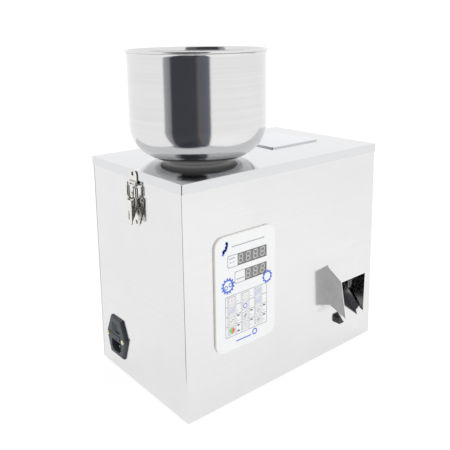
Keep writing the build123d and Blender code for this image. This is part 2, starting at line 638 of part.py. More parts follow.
def cell_screws():
    low = cell_z0 + LOAD_CELL
    front_y, back_y = cell_y0 + CELL_SCREW_IN, cell_y1 - CELL_SCREW_IN
    first = rod_z(CHUTE_X, front_y, low + HANGER, low + HANGER + 3, 3.5)
    first = first + rod_z(CHUTE_X, front_y, cell_z0 + 2, low + HANGER, CELL_SCREW)
    second = rod_z(CHUTE_X, back_y, low, low + 3, 3.5)
    second = second + rod_z(CHUTE_X, back_y, cell_z0 - 8, low, CELL_SCREW)
    return group([first, second])


# ---------------------------------------------------------------- vibrating feeder
feeder = Pos(HOPPER_X, 0, 0) * Rot(0, 0, TRAY_ANGLE)
tray_floor = base_z + TRAY_FLOOR
CARRIER_HEIGHT = 14.0
carrier_low = tray_floor - SHEET - CARRIER_HEIGHT
CARRIER_BACK, CARRIER_FRONT, CARRIER_HALF = -22.0, 62.0, 18.0
SPRING_SPAN = 50.0       # upright distance between the spring clamps
spring_top = carrier_low
spring_low = spring_top - SPRING_SPAN
spring_shift = SPRING_SPAN * tan(radians(SPRING_LEAN))
CLAMP = 12.0
SPRING_SPOTS = (-14.0, 54.0)   # top clamp, along the tray
block_top = spring_low - CLAMP
BLOCK_HEIGHT = 22.0
block_low = block_top - BLOCK_HEIGHT
BLOCK_BACK, BLOCK_FRONT, BLOCK_HALF = -12.0, 84.0, 26.0
MOUNT_HEIGHT, MOUNT_RADIUS = 15.0, 8.0
stand_top = block_low - MOUNT_HEIGHT
STAND_BACK, STAND_FRONT, STAND_HALF = -24.0, 96.0, 36.0
STAND_SHEET = 2.0
mount_spots = [(u, v) for u in (BLOCK_BACK + 10, BLOCK_FRONT - 10)
               for v in (-BLOCK_HALF + 9, BLOCK_HALF - 9)]
COIL_X = 26.0
COIL_HALF = 15.0
ARMATURE_DROP = 2.0      # armature below the carrier
MAGNET_GAP = 2.0
core_top = carrier_low - ARMATURE_DROP - MAGNET_GAP


def feeder_tray():
    half = TRAY_WIDTH / 2
    tray = block(TRAY_BACK, TRAY_FRONT, -half, half, tray_floor - SHEET, tray_floor + TRAY_DEPTH)
    room = half - SHEET
    above = tray_floor + TRAY_DEPTH + CUT
    tray = tray - block(TRAY_BACK + SHEET, TRAY_FRONT + CUT, -room, room, tray_floor, above)
    nose = [(TRAY_FRONT - 14, above), (TRAY_FRONT + CUT, tray_floor + 6), (TRAY_FRONT + CUT, above)]
    return feeder * (tray - plate_y(nose, -half - CUT, half + CUT))


def feeder_carrier():
    """Casting bolted under the tray, with a clamp face for each leaf spring."""
    low = carrier_low
    body = block(CARRIER_BACK, CARRIER_FRONT, -CARRIER_HALF, CARRIER_HALF, low + 4, low + CARRIER_HEIGHT)
    for u in SPRING_SPOTS:
        body = body + block(u - 6, u + 6, -CARRIER_HALF, CARRIER_HALF, low, low + 4)
    return feeder * body


def magnet_armature():
    return feeder * block(COIL_X - 14, COIL_X + 14, -12, 12, carrier_low - ARMATURE_DROP, carrier_low + 4)


def leaf_springs():
    made = []
    half = CARRIER_HALF - 2
    for u in SPRING_SPOTS:
        leaf, low_u = SPRING_LEAF / 2, u + spring_shift
        points = [(u - leaf, spring_top), (u + leaf, spring_top),
                  (low_u + leaf, spring_low), (low_u - leaf, spring_low)]
        made.append(feeder * plate_y(points, -half, half))
    return group(made)


def feeder_block():
    """Heavy cast block with a raised clamp under each leaf spring."""
    body = block(BLOCK_BACK, BLOCK_FRONT, -BLOCK_HALF, BLOCK_HALF, block_low, block_top)
    for u in SPRING_SPOTS:
        mid = u + spring_shift
        body = body + block(mid - 6, mid + 6, -CARRIER_HALF, CARRIER_HALF, block_top, spring_low)
    return feeder * body


def magnet_core():
    """Three-legged iron core standing on the block."""
    core = block(COIL_X - 14, COIL_X + 14, -10, 10, block_top, core_top)
    for sx in (-1, 1):
        u0, u1 = sorted((COIL_X + sx * 4, COIL_X + sx * 10))
        core = core - block(u0, u1, -11, 11, block_top + 8, core_top + 1)
    return feeder * core


def magnet_coil():
    coil = block(COIL_X - 9.6, COIL_X + 9.6, -COIL_HALF, COIL_HALF, block_top + 8.4, core_top - 8)
    return feeder * (coil - block(COIL_X - 4.2, COIL_X + 4.2, -10.2, 10.2, block_top, core_top))


def rubber_mounts():
    return group([feeder * rod_z(u, v, stand_top, block_low, MOUNT_RADIUS) for u, v in mount_spots])


def feeder_stand():
    """Folded bridge with out-turned feet on the base plate."""
    t = STAND_SHEET
    outer = block(STAND_BACK, STAND_FRONT, -STAND_HALF, STAND_HALF, deck_z, stand_top)
    half = STAND_HALF + CUT
    outer = outer - block(STAND_BACK + t, STAND_FRONT - t, -half, half, deck_z - CUT, stand_top - t)
    feet_back = block(STAND_BACK - 12, STAND_BACK, -STAND_HALF, STAND_HALF, deck_z, deck_z + t)
    feet_front = block(STAND_FRONT, STAND_FRONT + 12, -STAND_HALF, STAND_HALF, deck_z, deck_z + t)
    return feeder * (outer + feet_back + feet_front)


# ---------------------------------------------------------------- power board
POWER_X0, POWER_X1, POWER_Y0, POWER_Y1 = -70.0, 58.0, 54.0, 98.0
POWER_RISE = 8.0
power_z = deck_z + POWER_RISE


def power_board():
    return block(POWER_X0, POWER_X1, POWER_Y0, POWER_Y1, power_z, power_z + BOARD)


def power_standoffs():
    spots = [(x, y) for x in (POWER_X0 + 5, POWER_X1 - 5) for y in (POWER_Y0 + 5, POWER_Y1 - 5)]
    return group([rod_z(x, y, deck_z, power_z, 3.0) for x, y in spots])


def power_parts():
    """Transformer, terminal strip, relay, heat sink and three capacitors."""
    z = power_z + BOARD
    parts = [block(-62, -22, 60, 92, z, z + 34), block(30, 52, 60, 92, z, z + 9)]
    parts.append(block(-14, 2, 78, 92, z, z + 16))
    sink = block(8, 12, 60, 92, z, z + 26)
    for i in range(5):
        sink = sink + block(12, 20, 60 + 7 * i, 62 + 7 * i, z, z + 26)
    parts.append(sink)
    for x in (-14, -4, 4):
        parts.append(rod_z(x, 66, z, z + 18, 4.0))
    return group(parts)


# ---------------------------------------------------------------- toggle latches
def latch_frame(side):
    """Places a latch drawn on the left side; side is -1 for left and 1 for right."""
    return Pos(0, 0, 0) if side < 0 else Rot(0, 0, 180)


def out(distance):
    """x of a point a distance out from the left case face."""
    return -case_x - distance


latch_z = base_z + LATCH_PIVOT_Z
bail_z = latch_z - BAIL_ARM
bail_out = LATCH_PIVOT_OUT - 1.0
BASE_THICK = 1.2
LEVER_HALF, LEVER_SHEET = 6.8, 1.2
EAR_HALF = LEVER_HALF - LEVER_SHEET - 0.2
LATCH_PIN, BAIL_PIN = 1.5, 1.25
LEVER_FACE_IN, LEVER_LOW = 9.4, 31.0
EAR_RADIUS = 3.0
LEVER_TOP = 1.0          # lever face above its pivot
LEDGE_OVERLAP = 1.4      # ledge under the bail bar
bar_z = bail_z + BAIL_LENGTH
ledge_top = bar_z - BAIL_WIRE - KEEPER_GAP
keeper_in = BODY_LENGTH / 2 - case_x       # lid skirt face, out from the case face


def latch_base(side):
    y = LATCH_Y
    points = [(y - 22, latch_z + 3), (y - 21, latch_z - 5), (y - 9, latch_z - 31), (y - 6, latch_z - 35),
              (y + 6, latch_z - 35), (y + 9, latch_z - 31), (y + 21, latch_z - 5), (y + 22, latch_z + 3),
              (y + 17, latch_z + 8), (y - 17, latch_z + 8)]
    plate = plate_x(points, out(0), out(BASE_THICK))
    for sy in (-1, 1):
        y0, y1 = sorted((y + sy * EAR_HALF, y + sy * (EAR_HALF - 1.4)))
        ear = block(out(0.5), out(LATCH_PIVOT_OUT), y0, y1, latch_z - EAR_RADIUS, latch_z + EAR_RADIUS / 2)
        plate = plate + ear + rod_y(out(LATCH_PIVOT_OUT), y0, y1, latch_z, EAR_RADIUS)
    plate = plate - rod_y(out(LATCH_PIVOT_OUT), y - 20, y + 20, latch_z, LATCH_PIN + 0.001)
    for dy, dz in RIVET_SPOTS:
        plate = plate - rod_x(out(-1), out(3), y + dy, latch_z + dz, RIVET + FIT)
    return latch_frame(side) * plate


RIVET, RIVET_HEAD = 1.6, 3.0
RIVET_SPOTS = [(-15.0, 1.5), (15.0, 1.5), (0.0, -30.5)]
EYE_Z, EYE = lid_top - 5.2, 3.4


def latch_pin(side):
    y = LATCH_Y
    half = LEVER_HALF + 0.8
    return latch_frame(side) * rod_y(out(LATCH_PIVOT_OUT), y - half, y + half, latch_z, LATCH_PIN)


def latch_rivets():
    made = []
    for side in (-1, 1):
        for dy, dz in RIVET_SPOTS:
            y, z = LATCH_Y + dy, latch_z + dz
            rivet = rod_x(out(-SHEET - 1.5), out(BASE_THICK + 1), y, z, RIVET)
            rivet = rivet + rod_x(out(BASE_THICK), out(BASE_THICK + 1), y, z, RIVET_HEAD)
            rivet = rivet + rod_x(out(-SHEET - 1.5), out(-SHEET), y, z, RIVET_HEAD - 0.4)
            made.append(latch_frame(side) * rivet)
    return group(made)


def latch_lever(side):
    """Channel lever with a forked bill at its low end."""
    y, half = LATCH_Y, LEVER_HALF
    face0, face1 = out(LEVER_FACE_IN), out(LEVER_FACE_IN + LEVER_SHEET)
    low = latch_z - LEVER_LOW
    plate = block(face0, face1, y - half, y + half, low + 4, latch_z + LEVER_TOP)
    tip_half = half - 1.5
    bill = [(y - half, low + 4), (y + half, low + 4), (y + tip_half, low), (y - tip_half, low)]
    lever = plate + plate_x(bill, face0, face1)
    for sy in (-1, 1):
        y0, y1 = sorted((y + sy * half, y + sy * (half - LEVER_SHEET)))
        cheek = [(LEVER_FACE_IN, LEVER_TOP), (6, 3.2), (3.2, 1.5), (2.9, -1.5), (2.8, -11), (6, -20),
                 (LEVER_FACE_IN, -26)]
        cheek = [(out(reach), latch_z + dz) for reach, dz in cheek]
        lever = lever + plate_y(cheek, y0, y1)
    lever = lever - rod_y(out(LATCH_PIVOT_OUT), y - 20, y + 20, latch_z, LATCH_PIN + PIVOT_FIT)
    lever = lever - rod_y(out(bail_out), y - 20, y + 20, bail_z, BAIL_PIN + 0.001)
    slot = block(face0 + 1, face1 - 1, y - 1.2, y + 1.2, latch_z - 25, latch_z - 13)
    return latch_frame(side) * (lever - slot)


def bail_pin(side):
    half = BAIL_HALF + BAIL_WIRE + 1.2
    return latch_frame(side) * rod_y(out(bail_out), LATCH_Y - half, LATCH_Y + half, bail_z, BAIL_PIN)


def latch_bail(side):
    """Wire bail with an eye at each end, a spring sleeve on each arm and a bar across the top."""
    x, y = out(bail_out), LATCH_Y
    bail = rod_y(x, y - BAIL_HALF, y + BAIL_HALF, bar_z, BAIL_WIRE)
    for sy in (-1, 1):
        arm_y = y + sy * BAIL_HALF
        bail = bail + rod_z(x, arm_y, bail_z, bar_z, BAIL_WIRE)
        bail = bail + Pos(x, arm_y, bar_z) * Sphere(BAIL_WIRE)
        bail = bail + rod_y(x, arm_y - BAIL_WIRE, arm_y + BAIL_WIRE, bail_z, BAIL_PIN + 1.4)
        bail = bail + rod_z(x, arm_y, bail_z + 13.5, bail_z + 25.5, 2.6)
    return latch_frame(side) * (bail - rod_y(x, y - 20, y + 20, bail_z, BAIL_PIN + PIVOT_FIT))


def latch_keeper(side):
    """Catch plate spot-welded to the lid skirt, with a round hole and the ledge the bail pulls on."""
    y = LATCH_Y
    x0, x1 = out(keeper_in), out(keeper_in + 1.4)
    plate = block(x0, x1, y - 9, y + 9, ledge_top - 1.4, lid_top - 7)
    crown_room = block(x0 - 3, x1 + 3, y - 9, y + 9, lid_top - 8, lid_top - 0.6)
    crown = rod_x(x0, x1, y, lid_top - 7.5, 9.0) & crown_room
    reach = bail_out - BAIL_WIRE + LEDGE_OVERLAP
    ledge = block(x0, out(reach), y - 7, y + 7, ledge_top - 1.4, ledge_top)
    keeper = plate + crown + ledge
    return latch_frame(side) * (keeper - rod_x(out(0), out(8), y, EYE_Z, EYE))


# ---------------------------------------------------------------- mains inlet with switch and fuse
inlet_z = base_z + INLET_Z
SOCKET_HALF, SOCKET_LOW, SOCKET_HIGH, SOCKET_DEPTH = 12.2, -22.5, -6.0, 16.0
DRAWER_HALF, DRAWER_LOW, DRAWER_HIGH, DRAWER_DEPTH = 10.5, -3.6, 2.8, 15.0
ROCKER_HALF, ROCKER_LOW, ROCKER_HIGH = 8.6, 7.0, 19.0
ROCKER_TILT = 9.0
ROCKER_PIVOT = 1.0
BODY_HALF, BODY_LOW, BODY_HIGH = 14.0, -25.0, 22.5
TRUNNION, TRUNNION_DEPTH = 1.2, 2.0
INLET_SCREW, INLET_SCREW_SPAN = 1.6, 40.0
inlet_screw_ys = (INLET_Y - INLET_SCREW_SPAN / 2, INLET_Y + INLET_SCREW_SPAN / 2)


def inlet_block(o0, o1, y0, y1, z0, z1):
    return block(out(o0), out(o1), INLET_Y + y0, INLET_Y + y1, inlet_z + z0, inlet_z + z1)


def inlet_cavity(z0, z1):
    """C14 socket outline: a box with its two lower corners cut off."""
    h, cut = SOCKET_HALF, 5.0
    points = [(-h, z1), (h, z1), (h, z0 + cut), (h - cut, z0), (-h + cut, z0), (-h, z0 + cut)]
    return [(INLET_Y + y, inlet_z + z) for y, z in points]


def inlet_pins():
    made = []
    mid = (SOCKET_LOW + SOCKET_HIGH) / 2
    for y, z, tip in ((-7.0, mid + 2, -3.0), (7.0, mid + 2, -3.0), (0.0, mid - 2.5, -1.0)):
        pin = inlet_block(-INLET_DEPTH - 8, tip, y - 1, y + 1, z - 2, z + 2)
        made.append(pin)
    return group(made)


def inlet_body():
    top, low, mid, tall = 14.0, 17.0, 26.0, 29.0
    points = [(-top, tall), (top, tall), (mid, 3), (mid, -3),
              (low, -tall), (-low, -tall), (-mid, -3), (-mid, 3)]
    outline = [(INLET_Y + y, inlet_z + z) for y, z in points]
    flange = plate_x(outline, out(0), out(INLET_FLANGE))
    flange = chamfer(flange.faces().sort_by(Axis.X)[0].edges(), 2.2)
    body = flange + inlet_block(-INLET_DEPTH, 1, -BODY_HALF, BODY_HALF, BODY_LOW, BODY_HIGH)
    face = INLET_FLANGE + CUT
    body = body - plate_x(inlet_cavity(SOCKET_LOW, SOCKET_HIGH), out(-SOCKET_DEPTH), out(face))
    drawer_half, drawer_back = DRAWER_HALF + SLIDE_FIT, -DRAWER_DEPTH - SLIDE_FIT
    body = body - inlet_block(drawer_back, face, -drawer_half, drawer_half,
                              DRAWER_LOW - SLIDE_FIT, DRAWER_HIGH + SLIDE_FIT)
    room = ROCKER_HALF + 1.4
    body = body - inlet_block(-8, face, -room, room, ROCKER_LOW - SLIDE_FIT, ROCKER_HIGH + SLIDE_FIT)
    low, high = inlet_z + ROCKER_LOW - TRUNNION_DEPTH, inlet_z + ROCKER_HIGH + TRUNNION_DEPTH
    body = body - rod_z(out(ROCKER_PIVOT), INLET_Y, low, high, TRUNNION + PIVOT_FIT)
    for y in inlet_screw_ys:
        body = body - rod_x(out(-CUT), out(face), y, inlet_z, INLET_SCREW + FIT)
    for pin in inlet_pins().solids():
        body = body - pin
    return body


def inlet_screws():
    made = []
    top = INLET_FLANGE + 1.8
    for y in inlet_screw_ys:
        head = rod_x(out(INLET_FLANGE), out(top), y, inlet_z, 3.2)
        slot = block(out(top - SLOT_DEPTH), out(top + CUT), y - 4, y + 4, -SLOT_HALF, SLOT_HALF)
        slot = Pos(0, 0, inlet_z) * slot
        shank = rod_x(out(-SHEET - 5), out(INLET_FLANGE), y, inlet_z, INLET_SCREW)
        made.append(head - slot + shank)
        nut = hexagon_nut(0, 0, 0, 5.5, 2.4, INLET_SCREW + FIT)
        made.append(Pos(-inner_x, y, inlet_z) * Rot(0, 90, 0) * nut)
    return group(made)


def power_rocker():
    """Two-lobed switch rocker on vertical trunnions, resting tipped to its off side."""
    h = ROCKER_HALF
    points = [(-h, -5.0), (h, -5.0), (h, 2.8), (0, 1.0), (-h, 2.8)]
    outline = make_face(Polyline(*[(-o, y, 0) for y, o in points], close=True))
    wedge = Rot(0, 0, ROCKER_TILT) * extrude(outline, amount=ROCKER_HIGH - ROCKER_LOW)
    body = Pos(out(ROCKER_PIVOT), INLET_Y, inlet_z + ROCKER_LOW) * wedge
    reach = TRUNNION_DEPTH - 0.5
    low, high = inlet_z + ROCKER_LOW - reach, inlet_z + ROCKER_HIGH + reach
    return body + rod_z(out(ROCKER_PIVOT), INLET_Y, low, high, TRUNNION)


FUSE, FUSE_LENGTH = 2.5, 20.0
FUSE_IN, FUSE_DROP = 6.0, 0.4            # behind the case face, below the drawer's middle


def fuse_drawer():
    face = INLET_FLANGE + 0.6
    drawer = inlet_block(-DRAWER_DEPTH, face, -DRAWER_HALF, DRAWER_HALF, DRAWER_LOW, DRAWER_HIGH)
    grip = inlet_block(INLET_FLANGE - 1.5, INLET_FLANGE + 2, -5, 5, DRAWER_LOW - 1, DRAWER_LOW + 1.2)
    half = FUSE_LENGTH / 2 + FIT
    nest = rod_y(out(-FUSE_IN), INLET_Y - half, INLET_Y + half, inlet_z - FUSE_DROP, FUSE + FIT)
    return drawer - grip - nest


def mains_fuse():
    half = FUSE_LENGTH / 2
    return rod_y(out(-FUSE_IN), INLET_Y - half, INLET_Y + half, inlet_z - FUSE_DROP, FUSE)


def left_panel():
    panel = side_shell(-1)
    half = BODY_HALF + FIT
    panel = panel - inlet_block(-4, CUT, -half, half, BODY_LOW - FIT, BODY_HIGH + FIT)
    for y in inlet_screw_ys:
        panel = panel - rod_x(out(-4), out(CUT), y, inlet_z, INLET_SCREW + FIT)
    return panel - rivet_holes(-1)


def right_panel():
    return side_shell(1) - rivet_holes(1)


def rivet_holes(side):
    spots = [(LATCH_Y + dy, latch_z + dz) for dy, dz in RIVET_SPOTS]
    holes = [rod_x(out(-4), out(CUT), y, z, RIVET + FIT) for y, z in spots]
    return latch_frame(side) * (holes[0] + holes[1] + holes[2])


# ---------------------------------------------------------------- nodes
nodes = {
    "base_plate": base_plate(),
    "feet": feet(),
    "case_fixings": group([foot_screws(), board_standoffs(), board_screws(), sensor_nut(), cell_screws(),
                           door_pin()]),
    "front_panel": front_panel(),
    "rear_panel": rear_panel(),
    "left_panel": left_panel(),
    "right_panel": right_panel(),
    "lid": lid(),
    "sight_pane": sight_pane(),
    "hopper_bowl": hopper_bowl(),
    "outlet_tube": outlet_tube(),
    "hopper_gasket": hopper_gasket(),
    "hopper_ring_nut": hopper_ring_nut(),
    "latch_keepers": group([latch_keeper(-1), latch_keeper(1)]),
    "latch_bases": group([latch_base(-1), latch_base(1), latch_pin(-1), latch_pin(1), latch_rivets()]),
    "left_latch_lever": group([latch_lever(-1), bail_pin(-1)]),
    "right_latch_lever": group([latch_lever(1), bail_pin(1)]),
    "left_latch_bail": latch_bail(-1),
    "right_latch_bail": latch_bail(1),
    "control_overlay": control_overlay(),
    "display_modules": group([display_module(WEIGHT_DISPLAY), display_module(COUNT_DISPLAY)]),
    "panel_leds": panel_leds(),
    "control_board": group([control_board(), board_chips(), key_switches()]),
    "chute_hood": chute_hood(),
    "chute_trough": chute_trough(),
    "discharge_funnel": discharge_funnel(),
    "photo_sensor": photo_sensor(),
    "weigh_bucket": weigh_bucket(),
    "bucket_door": bucket_door(),
    "door_motor": door_motor(),
    "door_crank": door_crank(),
    "motor_bracket": motor_bracket(),
    "load_cell": load_cell(),
    "bucket_hanger": bucket_hanger(),
    "load_cell_post": load_cell_post(),
    "feeder_tray": feeder_tray(),
    "feeder_carrier": group([feeder_carrier(), magnet_armature()]),
    "leaf_springs": leaf_springs(),
    "feeder_block": feeder_block(),
    "feeder_magnet": group([magnet_core(), magnet_coil()]),
    "rubber_mounts": rubber_mounts(),
    "feeder_stand": feeder_stand(),
    "power_board": group([power_board(), power_standoffs(), power_parts()]),
    "inlet_body": inlet_body(),
    "inlet_pins": inlet_pins(),
    "inlet_screws": inlet_screws(),
    "power_rocker": power_rocker(),
    "fuse_drawer": group([fuse_drawer(), mains_fuse()]),
}
for row in range(len(KEY_ROWS)):
    for column in range(len(KEY_COLUMNS)):
        x, z = key_spots[row * len(KEY_COLUMNS) + column]
        nodes[f"key_{row + 1}_{column + 1}"] = key_cap(x, z)

os.makedirs("parts", exist_ok=True)
for name, shape in nodes.items():
    export_step(shape, f"parts/{name}.step")
print(len(nodes), "nodes")
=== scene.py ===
"""Bench-top weigh filler: sheet steel case, spun bowl on a lift-off lid, control panel, hooded
chute, toggle latches and mains inlet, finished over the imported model. Metres, +Z up, front -Y.
"""
from math import cos, hypot, pi, radians, sin, tan

import bmesh
import bpy
from mathutils import Matrix, Vector


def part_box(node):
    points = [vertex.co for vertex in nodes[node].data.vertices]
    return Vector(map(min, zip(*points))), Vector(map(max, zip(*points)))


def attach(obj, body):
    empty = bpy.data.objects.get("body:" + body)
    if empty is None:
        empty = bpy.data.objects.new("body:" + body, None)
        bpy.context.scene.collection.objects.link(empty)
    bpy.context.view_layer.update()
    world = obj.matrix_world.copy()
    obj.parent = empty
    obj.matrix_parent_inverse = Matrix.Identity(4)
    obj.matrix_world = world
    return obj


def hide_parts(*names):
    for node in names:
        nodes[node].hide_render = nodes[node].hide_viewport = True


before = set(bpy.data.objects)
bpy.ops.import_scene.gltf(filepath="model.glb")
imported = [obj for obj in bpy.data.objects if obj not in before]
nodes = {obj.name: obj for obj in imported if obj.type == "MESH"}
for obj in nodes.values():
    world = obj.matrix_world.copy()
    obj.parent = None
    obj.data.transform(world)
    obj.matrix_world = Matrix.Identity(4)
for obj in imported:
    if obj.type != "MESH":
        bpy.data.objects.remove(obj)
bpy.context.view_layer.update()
scene = bpy.context.scene

# ---------------------------------------------------------------- camera, floor and light
# A camera off the left front corner, its lens shifted down so that upright edges stay nearly
# upright. The machine stands on pale paper in a white tent that is dark at one end.
AZIMUTH, ELEVATION, ROLL = radians(-39.53), radians(11.21), radians(-0.78)
back = Vector((sin(AZIMUTH) * cos(ELEVATION), -cos(AZIMUTH) * cos(ELEVATION), sin(ELEVATION)))
level = Vector((0, 0, 1)).cross(back).normalized()
upward = back.cross(level)
right = cos(ROLL) * level + sin(ROLL) * upward
top = -sin(ROLL) * level + cos(ROLL) * upward
lens = bpy.data.cameras.new("view")
lens.lens, lens.sensor_width, lens.shift_y = 48.29, 36.0, -0.176
camera = bpy.data.objects.new("view", lens)
CAMERA_SPOT = (-0.5637, -0.6518, 0.4875)
camera.matrix_world = Matrix.Translation(CAMERA_SPOT) @ Matrix((right, top, back)).transposed().to_4x4()
scene.collection.objects.link(camera)
scene.camera = camera
scene.view_settings.view_transform = "Standard"


class Tone:
    """One output in a node tree. Arithmetic on it adds Math nodes, and node() adds any other."""

    def __init__(self, tree, socket=None):
        self.tree, self.socket = tree, socket

    def node(self, kind, settings=None, sockets=None, out=0):
        made = self.tree.nodes.new(kind)
        for key, value in (settings or {}).items():
            if key == "stops":
                ramp = made.color_ramp
                ramp.elements.remove(ramp.elements[1])
                ramp.elements[0].position, ramp.elements[0].color = value[0]
                for place, colour in value[1:]:
                    ramp.elements.new(place).color = colour
            else:
                setattr(made, key, value)
        for key, value in (sockets or {}).items():
            if isinstance(value, Tone):
                self.tree.links.new(value.socket, made.inputs[key])
            else:
                made.inputs[key].default_value = value
        return Tone(self.tree, made.outputs[out] if made.outputs else None)

    def _math(self, operation, a, b):
        return self.node("ShaderNodeMath", {"operation": operation}, {0: a, 1: b})

    def __add__(self, other):
        return self._math("ADD", self, other)

    def __radd__(self, other):
        return self._math("ADD", other, self)

    def __sub__(self, other):
        return self._math("SUBTRACT", self, other)

    def __rsub__(self, other):
        return self._math("SUBTRACT", other, self)

    def __mul__(self, other):
        return self._math("MULTIPLY", self, other)

    def __rmul__(self, other):
        return self._math("MULTIPLY", other, self)


def blank(name):
    """A material with an empty tree, and its coordinates in metres."""
    material = bpy.data.materials.new(name)
    material.use_nodes = True
    material.node_tree.nodes.clear()
    tone = Tone(material.node_tree)
    return material, tone, tone.node("ShaderNodeTexCoord", out="Object")


def shade(tone, sockets):
    """Ends a material in one shader."""
    surface = tone.node("ShaderNodeBsdfPrincipled", {}, sockets)
    tone.node("ShaderNodeOutputMaterial", {}, {"Surface": surface})


def noise(tone, place, scale, detail=3.0, rough=0.5):
    sockets = {"Vector": place, "Scale": scale, "Detail": detail, "Roughness": rough}
    return tone.node("ShaderNodeTexNoise", {}, sockets)


def stretched(tone, place, scale, shift=(0.0, 0.0, 0.0)):
    """Coordinates scaled along each axis and then shifted."""
    return tone.node("ShaderNodeMapping", {}, {"Vector": place, "Location": shift, "Scale": scale})


def bumped(tone, height, strength, distance=0.0002):
    return tone.node("ShaderNodeBump", {}, {"Height": height, "Strength": strength, "Distance": distance})


def between(tone, mask, low, high):
    """Colour from low to high as the mask goes from 0 to 1."""
    return tone.node("ShaderNodeMix", {"data_type": "RGBA"}, {0: mask, 6: low, 7: high}, out=2)


def grey(value, alpha=1.0):
    return (value, value, value, alpha)


floor_mesh = bpy.data.meshes.new("floor")
REACH = 6.0
paper = [(-REACH, -REACH, 0), (REACH, -REACH, 0), (REACH, REACH, 0), (-REACH, REACH, 0)]
floor_mesh.from_pydata(paper, [], [(0, 1, 2, 3)])
floor = bpy.data.objects.new("floor", floor_mesh)
scene.collection.objects.link(floor)
floor_paint, tone, place = blank("floor_paper")
# The paper glows evenly, and a painted pool of light in front of the machine glows a little more.
painted_pool_place = stretched(tone, place, (1.1, 1.5, 1.0), (0.0, 0.9, 0.0))
painted_light_pool = tone.node("ShaderNodeTexGradient", {"gradient_type": "SPHERICAL"}, {"Vector": painted_pool_place})
shade(tone, {"Base Color": between(tone, noise(tone, place, 3.0), grey(0.26), grey(0.30)),
             "Roughness": 0.7, "Specular IOR Level": 0.0,
             "Emission Color": between(tone, painted_light_pool, grey(0.76), grey(0.86)), "Emission Strength": 1.0})
floor_mesh.materials.append(floor_paint)

world = bpy.data.worlds.new("tent")
scene.world = world
world.use_nodes = True
sky = world.node_tree.nodes["Background"]
sky.inputs["Color"].default_value = grey(1.0)
sky.inputs["Strength"].default_value = 1.06


def soft_light(name, spot, aim, size, power):
    """Square lamp that lights the piece but shows in no reflection."""
    lamp = bpy.data.lights.new(name, "AREA")
    lamp.size, lamp.energy = size, power
    lit = bpy.data.objects.new(name, lamp)
    lit.location = spot
    lit.visible_glossy = False
    lit.rotation_euler = (Vector(aim) - Vector(spot)).to_track_quat("-Z", "Y").to_euler()
    scene.collection.objects.link(lit)


soft_light("key_light", (-1.6, -1.0, 2.0), (0, 0, 0.25), 1.4, 7)
soft_light("fill_light", (1.8, -1.6, 1.2), (0, 0, 0.2), 1.6, 4)


# The dark end of the tent, which only reflections see: a wall and a wedge of floor towards the
# machine, with a mid-grey strip at its left and a bluish one past a brown line at its right.
ROOM_TURN, ROOM_AWAY, ROOM_HALF, ROOM_TALL = radians(215), 1.3, 0.93, 2.2
WEDGE_AWAY, WEDGE_HALF, OVER_FLOOR = 0.29, 0.13, 0.003
away = Vector((cos(ROOM_TURN), sin(ROOM_TURN), 0))
across = Vector((-away.y, away.x, 0))
wall_foot = away * ROOM_AWAY
corners = [wall_foot - across * ROOM_HALF, wall_foot + across * ROOM_HALF]
corners += [corner + Vector((0, 0, ROOM_TALL)) for corner in corners]
corners += [away * WEDGE_AWAY - across * WEDGE_HALF, away * WEDGE_AWAY + across * WEDGE_HALF]
corners = [corner + Vector((0, 0, OVER_FLOOR)) for corner in corners]
room_mesh = bpy.data.meshes.new("dark_room")
room_mesh.from_pydata(corners, [], [(0, 1, 3, 2), (4, 5, 1, 0)])
dark_room = bpy.data.objects.new("dark_room", room_mesh)
dark_room.visible_camera = dark_room.visible_diffuse = dark_room.visible_shadow = False
scene.collection.objects.link(dark_room)
room_paint, tone, place = blank("dark_room")
dot = {"operation": "DOT_PRODUCT"}
along = tone.node("ShaderNodeVectorMath", dot, {0: place, 1: tuple(across)}, out="Value")
outward = tone.node("ShaderNodeVectorMath", dot, {0: place, 1: tuple(away)}, out="Value")
slope = {0: along, 1: outward * (ROOM_HALF / ROOM_AWAY)}
share = tone.node("ShaderNodeMath", {"operation": "DIVIDE"}, slope) * 0.5 + 0.5
stops = [
    (0.00, (0.42, 0.43, 0.44, 1)),
    (0.17, (0.26, 0.27, 0.28, 1)),
    (0.20, (0.05, 0.055, 0.065, 1)),
    (0.67, (0.055, 0.058, 0.07, 1)),
    (0.72, (0.15, 0.135, 0.12, 1)),
    (0.76, (0.12, 0.125, 0.15, 1)),
    (1.00, (0.15, 0.155, 0.18, 1)),
]
paint = tone.node("ShaderNodeValToRGB", {"stops": stops}, {"Fac": share}, out="Color")
shade(tone, {"Base Color": paint, "Roughness": 0.8 + noise(tone, place, 2.0) * 0.1,
             "Specular IOR Level": 0.0})
room_mesh.materials.append(room_paint)

# ---------------------------------------------------------------- case of folded sheet
# The base, front, back and side panels are 1.2 mm stainless sheet, mill polished and drawn
# lengthways. They are CAD solids that keep their shape and take this finish.
SHEET_GREY, SHEET_ROUGH = 0.75, 0.12


def sheet_finish(name, grain, base=SHEET_GREY, rough=SHEET_ROUGH, smear=0.05):
    """Polished sheet; grain is the drawing lines' scale along each axis."""
    material, tone, place = blank(name)
    lines = noise(tone, stretched(tone, place, grain), 1.0, 4.0, 0.6)
    clouds = noise(tone, place, 14.0, 4.0, 0.6)
    colour = between(tone, lines * 0.5 + clouds * 0.5, grey(base - smear), grey(base + smear))
    shade(tone, {"Base Color": colour, "Metallic": 1.0,
                 "Roughness": rough - 0.03 + lines * 0.05 + clouds * 0.04,
                 "Normal": bumped(tone, lines, 0.05)})
    return material


def finish_nodes(material, *names):
    """Gives CAD nodes their finish."""
    for name in names:
        nodes[name].data.materials.clear()
        nodes[name].data.materials.append(material)


